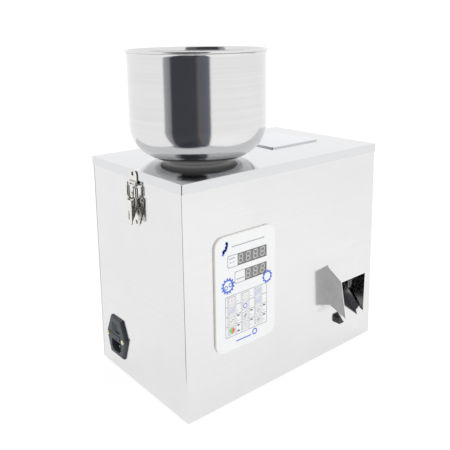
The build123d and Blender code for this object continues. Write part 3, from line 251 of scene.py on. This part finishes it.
flat_sheet = sheet_finish("sheet_drawn_x", (6, 500, 500))
side_sheet = sheet_finish("sheet_drawn_y", (500, 6, 500))
finish_nodes(flat_sheet, "front_panel", "rear_panel", "base_plate")
finish_nodes(side_sheet, "left_panel", "right_panel")
inner_sheet = sheet_finish("sheet_inner", (6, 300, 300), 0.62, 0.3)
finish_nodes(inner_sheet, "discharge_funnel", "weigh_bucket", "bucket_door", "bucket_hanger",
             "motor_bracket", "feeder_tray", "feeder_stand")

# ---------------------------------------------------------------- lid
# A shallow folded lid, polished brighter than the case, that lifts straight off with the bowl.
# The lid glows faintly under the bowl: a painted reflection that stands in for the light going to and fro
# between the two.
lid_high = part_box("lid")[1]
bowl_low, bowl_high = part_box("hopper_bowl")
bowl_axis = ((bowl_low.x + bowl_high.x) / 2, (bowl_low.y + bowl_high.y) / 2)
material, tone, place = blank("lid_sheet")
lines = noise(tone, stretched(tone, place, (6, 500, 500)), 1.0, 4.0, 0.6)
clouds = noise(tone, place, 14.0, 4.0, 0.6)
# Painted reflection: an emission in the lid, brightest at the bowl's axis and fading out round its foot.
PAINTED_GLOW_SCALE, PAINTED_GLOW_LEVEL = 14.0, 0.32
painted_glow_shift = tuple(-PAINTED_GLOW_SCALE * value for value in (*bowl_axis, lid_high.z))
painted_glow_place = stretched(tone, place, (PAINTED_GLOW_SCALE,) * 3, painted_glow_shift)
painted_glow = tone.node("ShaderNodeTexGradient", {"gradient_type": "SPHERICAL"}, {"Vector": painted_glow_place}, out="Fac")
cool_greys = ((0.67, 0.675, 0.69, 1), (0.73, 0.735, 0.75, 1))
shade(tone, {"Base Color": between(tone, lines * 0.5 + clouds * 0.5, *cool_greys), "Metallic": 1.0,
             "Roughness": 0.05 + lines * 0.05 + clouds * 0.04, "Normal": bumped(tone, lines, 0.05),
             "Emission Color": between(tone, painted_glow, grey(0.0), grey(PAINTED_GLOW_LEVEL)), "Emission Strength": 1.0})
finish_nodes(material, "lid")

# ---------------------------------------------------------------- feet
# Four moulded black rubber feet, each held by a screw from below. The feeder's mounts and the
# bowl's gasket are of the same rubber.
def rubber_finish(name, base):
    material, tone, place = blank(name)
    grain = noise(tone, place, 900.0, 2.0)
    dust = noise(tone, place, 60.0, 4.0)
    shade(tone, {"Base Color": between(tone, dust, grey(base), grey(base * 1.8)),
                 "Roughness": 0.6 + grain * 0.2, "Normal": bumped(tone, grain, 0.2)})
    return material


black_rubber = rubber_finish("black_rubber", 0.025)
finish_nodes(black_rubber, "feet", "rubber_mounts", "hopper_gasket")


# ---------------------------------------------------------------- bowl
# Spun steel bowl with a rolled rim and an outlet tube through the lid. Spinning leaves fine
# rings round it. It is a lathed mesh that stands for the CAD bowl.
def lathe(profile, axis, steps):
    """Mesh turned from (radius, height) points about an upright axis."""
    mesh = bmesh.new()
    rings = []
    for radius, height in profile:
        ring = []
        for i in range(steps):
            turn = 2 * pi * i / steps
            ring.append(mesh.verts.new((axis[0] + radius * cos(turn), axis[1] + radius * sin(turn), height)))
        rings.append(ring)
    for low, high in zip(rings, rings[1:]):
        for i in range(steps):
            j = (i + 1) % steps
            mesh.faces.new((low[i], low[j], high[j], high[i]))
    return mesh


def piece(name, mesh, material, body, smooth=True):
    """Object from a bmesh, with its finish, riding on a body."""
    data = bpy.data.meshes.new(name)
    mesh.to_mesh(data)
    mesh.free()
    data.materials.append(material)
    for face in data.polygons:
        face.use_smooth = smooth
    made = bpy.data.objects.new(name, data)
    scene.collection.objects.link(made)
    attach(made, body)
    return made


GASKET, RIM_WIRE = 0.002, 0.0017
CURVE, SKIN, NECK = 0.047, 0.001, 0.020
seat = lid_high.z + GASKET
wall = (bowl_high.x - bowl_low.x) / 2 - RIM_WIRE * 1.5


def bowl_profile():
    """Outside from the outlet tube up to the rolled rim, then down inside."""
    points = [(NECK, seat)]
    middle = (wall - CURVE, seat + CURVE)
    points.append((wall - CURVE - 0.004, seat))
    for i in range(25):
        turn = radians(-90 + 90 * i / 24)
        points.append((middle[0] + CURVE * cos(turn), middle[1] + CURVE * sin(turn)))
    rim = (wall + RIM_WIRE / 2, bowl_high.z - RIM_WIRE)
    points.append((wall, rim[1] - 0.006))
    for i in range(17):
        turn = radians(-100 + 260 * i / 16)
        points.append((rim[0] + RIM_WIRE * cos(turn), rim[1] + RIM_WIRE * sin(turn)))
    inner = CURVE - SKIN
    points.append((wall - SKIN, rim[1] - 0.004))
    for i in range(25):
        turn = radians(-90 * i / 24)
        points.append((middle[0] + inner * cos(turn), middle[1] + inner * sin(turn)))
    points += [(NECK, seat + SKIN), (NECK, seat)]
    return points


material, tone, place = blank("spun_steel")
centred = stretched(tone, place, (1.0, 1.0, 1.0), (-bowl_axis[0], -bowl_axis[1], 0.0))
fine = noise(tone, stretched(tone, centred, (3, 3, 1500)), 1.0, 5.0, 0.7)
coarse = noise(tone, stretched(tone, centred, (2, 2, 180)), 1.0, 3.0)
shade(tone, {"Base Color": between(tone, fine * 0.6 + coarse * 0.4, grey(0.60), grey(0.80)),
             "Metallic": 1.0, "Roughness": 0.07 + fine * 0.07, "Normal": bumped(tone, fine, 0.12)})
bowl = piece("bowl", lathe(bowl_profile(), bowl_axis, 160), material, "lid")
finish_nodes(material, "outlet_tube")
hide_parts("hopper_bowl")

# ---------------------------------------------------------------- sight pane
# A tinted plastic pane with rounded corners, glued over the hole in the lid so that the feeder
# can be watched.
material, tone, place = blank("tinted_pane")
clouds = noise(tone, place, 25.0)
shade(tone, {"Base Color": between(tone, clouds, (0.66, 0.69, 0.73, 1), (0.72, 0.74, 0.78, 1)),
             "Roughness": 0.10 + clouds * 0.05, "Metallic": 0.55, "Coat Weight": 0.4})
finish_nodes(material, "sight_pane")

# ---------------------------------------------------------------- turned and cast metal inside
# The ring nut, load cell and its post are turned or milled aluminium, the feeder's carrier and
# block are castings, and the leaf springs are blued spring steel.
finish_nodes(sheet_finish("milled_aluminium", (300, 300, 30), 0.72, 0.3, 0.04),
             "hopper_ring_nut", "load_cell", "load_cell_post", "feeder_carrier")
finish_nodes(sheet_finish("spring_steel", (300, 20, 20), 0.35, 0.3, 0.06), "leaf_springs")
finish_nodes(sheet_finish("zinc_steel", (400, 400, 400), 0.62, 0.3, 0.05), "case_fixings")


def painted_finish(name, low, high, grain_scale=300.0, rough=0.5, strength=0.3):
    """Paint or moulded plastic with a fine grain."""
    material, tone, place = blank(name)
    grain = noise(tone, place, grain_scale, 3.0)
    patches = noise(tone, place, 30.0, 3.0)
    shade(tone, {"Base Color": between(tone, patches, low, high), "Roughness": rough + grain * 0.15,
                 "Normal": bumped(tone, grain, strength)})
    return material


finish_nodes(painted_finish("cast_block_paint", (0.03, 0.06, 0.09, 1), (0.05, 0.09, 0.13, 1), 220.0),
             "feeder_block")
finish_nodes(painted_finish("coil_varnish", (0.16, 0.06, 0.02, 1), (0.28, 0.12, 0.05, 1), 900.0, 0.3),
             "feeder_magnet")
finish_nodes(painted_finish("motor_paint", grey(0.05), grey(0.09), 500.0, 0.35), "door_motor")
finish_nodes(painted_finish("crank_plastic", grey(0.62), grey(0.70), 500.0, 0.4), "door_crank")
finish_nodes(painted_finish("board_green", (0.01, 0.09, 0.03, 1), (0.02, 0.14, 0.05, 1), 700.0, 0.35),
             "control_board", "power_board")

# ---------------------------------------------------------------- control panel
# A thick moulded plastic panel, white with a warm edge, that carries two displays, twelve push
# keys and seven lamps. Its print is drawn as thin flat shapes on its face.
panel_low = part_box("control_overlay")[0]
material, tone, place = blank("panel_white")
grain = noise(tone, place, 1400.0, 2.0)
depth = tone.node("ShaderNodeSeparateXYZ", {}, {"Vector": place}, out="Y")
EDGE_FROM, EDGE_TO = panel_low.y + 0.0002, panel_low.y + 0.0012
edge = tone.node("ShaderNodeMapRange", {}, {"Value": depth, "From Min": EDGE_FROM, "From Max": EDGE_TO})
shade(tone, {"Base Color": between(tone, edge, (0.78, 0.785, 0.79, 1), (0.82, 0.79, 0.71, 1)),
             "Roughness": 0.32 + grain * 0.1, "Normal": bumped(tone, grain, 0.05, 0.0001),
             "Coat Weight": 0.15})
finish_nodes(material, "control_overlay")


def ink(name, colour):
    """Printed ink, a little uneven; the displays' painted shade line is drawn in it too."""
    material, tone, place = blank(name)
    dots = noise(tone, place, 1500.0, 2.0)
    lighter = tuple(c + (1 - c) * 0.12 for c in colour)
    shade(tone, {"Base Color": between(tone, dots, (*colour, 1), (*lighter, 1)),
                 "Roughness": 0.4 + dots * 0.1})
    return material


INK = {
    "blue": ink("ink_blue", (0.03, 0.12, 0.62)),
    "pale_blue": ink("ink_pale_blue", (0.35, 0.42, 0.70)),
    "line_grey": ink("ink_line_grey", (0.27, 0.28, 0.36)),
    "dark": ink("ink_dark", (0.06, 0.06, 0.07)),
    "red": ink("ink_red", (0.80, 0.05, 0.05)),
    "pale_red": ink("ink_pale_red", (0.85, 0.50, 0.48)),
    "green": ink("ink_green", (0.10, 0.60, 0.08)),
    "pale_green": ink("ink_pale_green", (0.50, 0.75, 0.48)),
}
PRINT = 0.00006


def print_flat(name, shapes, colour, y, body="case"):
    """Flat print at a depth y: each shape is a loop of (x, z), counted in millimetres."""
    mesh = bmesh.new()
    for loop in shapes:
        corners = [mesh.verts.new((x / 1000, y, z / 1000)) for x, z in loop]
        mesh.faces.new(corners)
    bmesh.ops.recalc_face_normals(mesh, faces=mesh.faces)
    for face in mesh.faces:
        if face.normal.y > 0:
            face.normal_flip()
    return piece(name, mesh, INK[colour], body, smooth=False)


def stroke(points, width, closed=False):
    """Quads along a line of (x, z) points."""
    made = []
    ends = points[1:] + points[:1] if closed else points[1:]
    for (x0, z0), (x1, z1) in zip(points, ends):
        run = hypot(x1 - x0, z1 - z0) or 1.0
        nx, nz = -(z1 - z0) / run * width / 2, (x1 - x0) / run * width / 2
        ex, ez = (x1 - x0) / run * width / 4, (z1 - z0) / run * width / 4
        made.append([(x0 + nx - ex, z0 + nz - ez), (x0 - nx - ex, z0 - nz - ez),
                     (x1 - nx + ex, z1 - nz + ez), (x1 + nx + ex, z1 + nz + ez)])
    return made


def arc(x, z, radius, start, end, steps):
    """Points round part of a circle, from one angle to another in degrees."""
    turns = [radians(start + (end - start) * i / steps) for i in range(steps + 1)]
    return [(x + radius * cos(turn), z + radius * sin(turn)) for turn in turns]


def band(x, z, inner, outer, start=0, end=360, steps=40):
    """Ring or part of a ring, as quads."""
    a, b = arc(x, z, inner, start, end, steps), arc(x, z, outer, start, end, steps)
    return [[a[i], a[i + 1], b[i + 1], b[i]] for i in range(steps)]


def cog(x, z, radius, teeth, start=0, end=360):
    """Toothed ring: a band with a tapered tooth on each pitch."""
    shapes = band(x, z, radius * 0.68, radius * 0.90, start, end, 48)
    pitch = (end - start) / teeth
    for i in range(teeth):
        at = start + pitch * (i + 0.5)
        low = arc(x, z, radius * 0.88, at - pitch * 0.34, at + pitch * 0.34, 1)
        high = arc(x, z, radius * 1.10, at - pitch * 0.22, at + pitch * 0.22, 1)
        shapes.append([low[0], low[1], high[1], high[0]])
    return shapes


def rounded(x0, x1, z0, z1, radius):
    """Loop round a box with rounded corners."""
    left, right_side, foot, head = x0 + radius, x1 - radius, z0 + radius, z1 - radius
    return (arc(right_side, head, radius, 0, 90, 6) + arc(left, head, radius, 90, 180, 6)
            + arc(left, foot, radius, 180, 270, 6) + arc(right_side, foot, radius, 270, 360, 6))


face_y = panel_low.y - PRINT
px, pz = panel_low.x * 1000, panel_low.z * 1000
print_flat("panel_big_cog", cog(px + 19.9, pz + 89.4, 9.8, 13), "blue", face_y)
small_rings = band(px + 16.7, pz + 87.6, 1.7, 2.9) + band(px + 24.0, pz + 90.0, 1.9, 3.1)
print_flat("panel_small_rings", small_rings, "blue", face_y)
print_flat("panel_right_cog", cog(px + 87.2, pz + 83.7, 8.2, 11), "blue", face_y)
cog_scrap = [(0, 0), (2.2, 2.6), (0.6, 4.0), (2.6, 5.6), (4.6, 4.6), (6.2, 7.0), (4.8, 9.0), (7.0, 9.8),
             (7.4, 12.4), (5.6, 14.0), (7.6, 14.6)]
cog_scrap = [(px + 12.0 + x, pz + 132.0 + z) for x, z in cog_scrap]
print_flat("panel_cog_scrap", stroke(cog_scrap, 3.2), "blue", face_y)
print_flat("panel_bottom_ring", band(px + 64.5, pz + 13.1, 2.7, 4.4), "blue", face_y)

# ---------------------------------------------------------------- displays
# Two rows of seven-segment digits, unlit: pale segments in a mid-grey moulding, with a printed
# label box to the left of each.
material, tone, place = blank("display_grey")
specks = noise(tone, place, 900.0, 2.0)
shade(tone, {"Base Color": between(tone, specks, (0.16, 0.16, 0.157, 1), (0.20, 0.198, 0.195, 1)),
             "Roughness": 0.30 + specks * 0.1})
finish_nodes(material, "display_modules")
INK["segment"] = ink("segment_grey", (0.46, 0.47, 0.46))
INK["display_painted_shade"] = ink("display_painted_shade", (0.10, 0.09, 0.085))


def digit(x, z, wide, tall):
    """Seven bars and a point; x, z is the middle, and the digit leans a little."""
    lean, thick = tan(radians(5)), tall * 0.135
    half, mid = wide / 2, tall / 2

    def bar(x0, z0, x1, z1):
        run = hypot(x1 - x0, z1 - z0)
        ux, uz = (x1 - x0) / run * thick, (z1 - z0) / run * thick
        nx, nz = -uz / 2, ux / 2
        a, b = (x0 + ux * 0.62, z0 + uz * 0.62), (x1 - ux * 0.62, z1 - uz * 0.62)
        loop = [(a[0] - ux / 2, a[1] - uz / 2), (a[0] + nx, a[1] + nz), (b[0] + nx, b[1] + nz),
                (b[0] + ux / 2, b[1] + uz / 2), (b[0] - nx, b[1] - nz), (a[0] - nx, a[1] - nz)]
        return [(x + along_x + lean * up, z + up) for along_x, up in loop]

    bars = [bar(-half, level_z, half, level_z) for level_z in (mid, 0, -mid)]
    for side in (-half, half):
        bars += [bar(side, 0, side, mid), bar(side, -mid, side, 0)]
    point = arc(x + half + thick * 1.5 - lean * mid, z - mid, thick * 0.5, 0, 330, 11)
    return bars + [point]


display_low, display_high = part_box("display_modules")
dy = display_low.y - PRINT
TALL, WEIGHT_WIDE, COUNT_WIDE = 15.9, 49.9, 37.8
x1 = display_high.x * 1000
weight_row = ("weight", x1 - WEIGHT_WIDE, display_high.z * 1000 - TALL, 4, 16.3)
count_row = ("count", x1 - COUNT_WIDE, display_low.z * 1000, 3, 17.0)
for name, x0, z0, digits, label_wide in (weight_row, count_row):
    shapes = []
    step = (x1 - x0) / digits
    for i in range(digits):
        shapes += digit(x0 + step * (i + 0.46), z0 + TALL / 2, 6.2, 11.0)
    print_flat(f"{name}_digits", shapes, "segment", dy)
    # Painted shade: a dark line along the bottom and the right edge of each display.
    painted_shade_line = stroke([(x0 + 0.3, z0 + 0.5), (x1 - 0.3, z0 + 0.5), (x1 - 0.3, z0 + TALL - 0.5)], 1.3)
    print_flat(f"{name}_shade", painted_shade_line, "display_painted_shade", dy)
    bend_x = x0 - label_wide + 2.5
    outline = arc(bend_x, z0 + TALL - 2.7, 2.5, 90, 180, 6) + arc(bend_x, z0 + 2.7, 2.5, 180, 270, 6)
    outline = [(x0, z0 + TALL - 0.2)] + outline + [(x0, z0 + 0.2)]
    print_flat(f"{name}_box", stroke(outline, 0.8), "line_grey", face_y)
top_label = stroke([(px + 22.5, pz + 124.0), (px + 31.0, pz + 124.6)], 1.3)
print_flat("weight_label", top_label, "line_grey", face_y)
low_label = stroke([(px + 23.5, pz + 119.0), (px + 25.5, pz + 119.0)], 1.3)
low_label += stroke([(px + 28.5, pz + 119.2), (px + 30.0, pz + 119.2)], 1.3)
print_flat("weight_label_low", low_label, "line_grey", face_y)
title = []
for i in range(10):
    title += stroke([(px + 27.0 + 5.6 * i, pz + 139.4), (px + 31.4 + 5.6 * i, pz + 139.4)], 1.3)
print_flat("title_dashes", title, "line_grey", face_y)
print_flat("foot_bar", stroke([(px + 33.0, pz + 10.4), (px + 58.0, pz + 10.4)], 1.6), "blue", face_y)
print_flat("count_label", stroke([(px + 34.0, pz + 94.5), (px + 46.5, pz + 94.5)], 1.1), "line_grey", face_y)

# ---------------------------------------------------------------- key field
# Twelve push keys of soft white plastic in four rows, a printed frame round them, and a small
# generic mark on each. Each mark rides on its own key.
key_white = painted_finish("key_white", grey(0.72), grey(0.76), 1200.0, 0.4, 0.1)
rows = [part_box(f"key_{row}_1") for row in range(1, 5)]
columns = [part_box(f"key_1_{column}") for column in range(1, 4)]
row_z = [(low.z + high.z) * 500 for low, high in rows]
column_x = [(low.x + high.x) * 500 for low, high in columns]
field_left, field_right = column_x[0] - 10.3, column_x[2] + 15.1
field_low, field_high = row_z[3] - 8.1, row_z[0] + 7.2
field = [(field_left, field_low), (field_right, field_low), (field_right, field_high)]
field += arc(field_left + 3, field_high - 3, 3, 90, 180, 6)
shapes = stroke(field, 0.7, closed=True)
for upper, lower in zip(row_z, row_z[1:]):
    z = (upper + lower) / 2
    stops = [field_left] + [v for x in column_x for v in (x - 6.1, x + 6.1)] + [field_right]
    for x0, x1 in zip(stops[::2], stops[1::2]):
        shapes += stroke([(x0, z), (x1, z)], 0.7)
for x in column_x:
    for side in (-7.0, 7.0):
        if x + side > field_left + 1:
            shapes += stroke([(x + side, field_low), (x + side, field_high)], 0.45)
print_flat("field_lines", shapes, "line_grey", face_y)
labels = []
for row, z in enumerate(row_z):
    for column, x in enumerate(column_x):
        if (row, column) not in ((1, 1), (1, 2), (0, 2)):
            labels += stroke([(x + 8.6, z - 2.6), (x + 11.4, z - 2.6)], 0.6)
print_flat("field_labels", labels, "line_grey", face_y)


def key_marks(x, z):
    """Generic marks for the keys: lists of (colour, shapes), by key number."""
    bars = [stroke([(x - 2.6, z + h), (x + 2.6, z + h)], 0.6) for h in (-1.4, 0.2, 1.8)]
    hatch = []
    for i in range(-4, 5):
        hatch += stroke([(x + i * 1.05 - 1.2, z - 3.4), (x + i * 1.05 + 1.2, z + 3.4)], 0.35)
    fork = stroke([(x - 1.8, z + 2.2), (x, z), (x + 1.8, z + 2.2)], 0.8) + stroke([(x, z), (x, z - 2.4)], 0.8)
    wave = stroke(arc(x - 1.5, z, 1.5, 180, 360, 8), 0.6) + stroke(arc(x + 1.5, z, 1.5, 180, 0, 8), 0.6)
    slashes = stroke([(x - 2.4, z - 2.2), (x + 0.4, z + 2.4)], 0.9)
    slashes += stroke([(x - 0.4, z - 2.4), (x + 2.4, z + 2.2)], 0.9)
    target = band(x, z, 2.0, 2.7) + band(x, z, 0.0, 0.7)
    return {
        (1, 1): [("pale_red", fork)], (1, 2): [("pale_green", band(x, z, 1.6, 2.4))],
        (1, 3): [("pale_blue", hatch)], (2, 1): [("pale_blue", hatch)],
        (2, 2): [("blue", band(x, z, 2.4, 3.5))], (2, 3): [("pale_blue", hatch)],
        (3, 1): [("line_grey", wave)], (3, 2): [("dark", slashes)], (3, 3): [("line_grey", target)],
        (4, 1): [("green", [arc(x, z, 4.2, 75, 255, 24)]), ("red", [arc(x, z, 4.2, -105, 75, 24)])],
        (4, 2): [("line_grey", bars[0] + bars[2])], (4, 3): [("line_grey", target + bars[1])],
    }


for row in range(1, 5):
    for column in range(1, 4):
        name = f"key_{row}_{column}"
        finish_nodes(key_white, name)
        low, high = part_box(name)
        x, z = (low.x + high.x) * 500, (low.z + high.z) * 500
        y = low.y - PRINT
        body = f"cap_{row}_{column}"
        for colour, shapes in key_marks(x, z)[(row, column)]:
            print_flat(f"{name}_{colour}", shapes, colour, y, body)
        trim = "pale_blue" if (row, column) in ((1, 3), (2, 1), (2, 3)) else "line_grey"
        outline = stroke(rounded(x - 4.9, x + 4.9, z - 5.0, z + 5.0, 1.2), 0.35, closed=True)
        print_flat(f"{name}_edge", outline, trim, y, body)

# ---------------------------------------------------------------- lamps
# Seven small lamps of dark tinted resin beside the lower keys, set level with the panel's face,
# with a printed dash beside each.
material, tone, place = blank("lamp_dark")
specks = noise(tone, place, 1200.0, 2.0)
shade(tone, {"Base Color": between(tone, specks, (0.05, 0.04, 0.04, 1), (0.09, 0.07, 0.07, 1)),
             "Roughness": 0.2 + specks * 0.1, "Coat Weight": 0.5})
finish_nodes(material, "panel_leds")
lamp_dashes = []
for column, row, rise in ((0, 2, 4), (0, 3, 4), (1, 2, 4), (1, 3, 4), (2, 2, 4), (2, 3, 4), (0, 3, -4)):
    x, z = column_x[column], row_z[row] + rise
    lamp_dashes += stroke([(x + 9.2, z), (x + 12.6, z)], 1.7)
print_flat("lamp_dashes", lamp_dashes, "dark", face_y)

# ---------------------------------------------------------------- chute
# Folded hood and sloping trough of bright polished sheet, with the photo sensor under the
# tongue. The hood's side walls, inside and out, are painted darker than its top: painted shade.
material, tone, place = blank("hood_sheet")
lines = noise(tone, stretched(tone, place, (400, 8, 400)), 1.0, 4.0)
clouds = noise(tone, place, 30.0, 4.0, 0.6)
# Painted shade: faces that look sideways, the side walls, take the darker colour.
facing = tone.node("ShaderNodeNewGeometry", out="Normal")
facing_x = tone.node("ShaderNodeSeparateXYZ", {}, {"Vector": facing}, out="X")
side_shade_mask = tone.node("ShaderNodeMath", {"operation": "ABSOLUTE"}, {0: facing_x})
top_colour = between(tone, lines * 0.4 + clouds * 0.6, grey(0.74), grey(0.84))
side_painted_shade = between(tone, lines * 0.2 + clouds * 0.8, grey(0.30), grey(0.56))
shade(tone, {"Base Color": between(tone, side_shade_mask, top_colour, side_painted_shade), "Metallic": 1.0,
             "Roughness": 0.12 + clouds * 0.08, "Normal": bumped(tone, lines, 0.05)})
finish_nodes(material, "chute_hood")
finish_nodes(sheet_finish("trough_sheet", (400, 8, 8), 0.78, 0.10), "chute_trough")
finish_nodes(painted_finish("sensor_black", grey(0.012), grey(0.03), 900.0, 0.35), "photo_sensor")

# ---------------------------------------------------------------- toggle latches
# Nickel-plated pressed latches, one on each side: a lever with a wire bail that hooks a catch
# plate on the lid's skirt. The CAD solids keep their shape.
material, tone, place = blank("nickel_plate")
wear = noise(tone, place, 160.0, 4.0, 0.6)
pits = noise(tone, place, 1800.0, 2.0)
shade(tone, {"Base Color": between(tone, wear, (0.66, 0.64, 0.60, 1), (0.86, 0.85, 0.82, 1)),
             "Metallic": 1.0, "Roughness": 0.10 + wear * 0.14, "Normal": bumped(tone, pits, 0.08, 0.0001)})
finish_nodes(material, "latch_keepers", "latch_bases", "left_latch_lever", "right_latch_lever",
             "left_latch_bail", "right_latch_bail")

# ---------------------------------------------------------------- mains inlet
# A moulded inlet module with a switch rocker above, a fuse drawer across the middle, the
# three-pin socket below, and a screw at each side.
inlet_greys = ((0.020, 0.026, 0.032, 1), (0.035, 0.043, 0.052, 1))
finish_nodes(painted_finish("inlet_grey", *inlet_greys, 1100.0, 0.38), "inlet_body", "fuse_drawer")
rocker_greys = ((0.015, 0.018, 0.022, 1), (0.03, 0.035, 0.04, 1))
finish_nodes(painted_finish("rocker_grey", *rocker_greys, 900.0, 0.28), "power_rocker")
finish_nodes(sheet_finish("pin_plate", (300, 300, 300), 0.75, 0.2, 0.05), "inlet_pins")
material, tone, place = blank("yellow_zinc")
sheen = noise(tone, place, 500.0, 3.0)
shade(tone, {"Base Color": between(tone, sheen, (0.70, 0.64, 0.42, 1), (0.85, 0.80, 0.62, 1)),
             "Metallic": 1.0, "Roughness": 0.25 + sheen * 0.15})
finish_nodes(material, "inlet_screws")
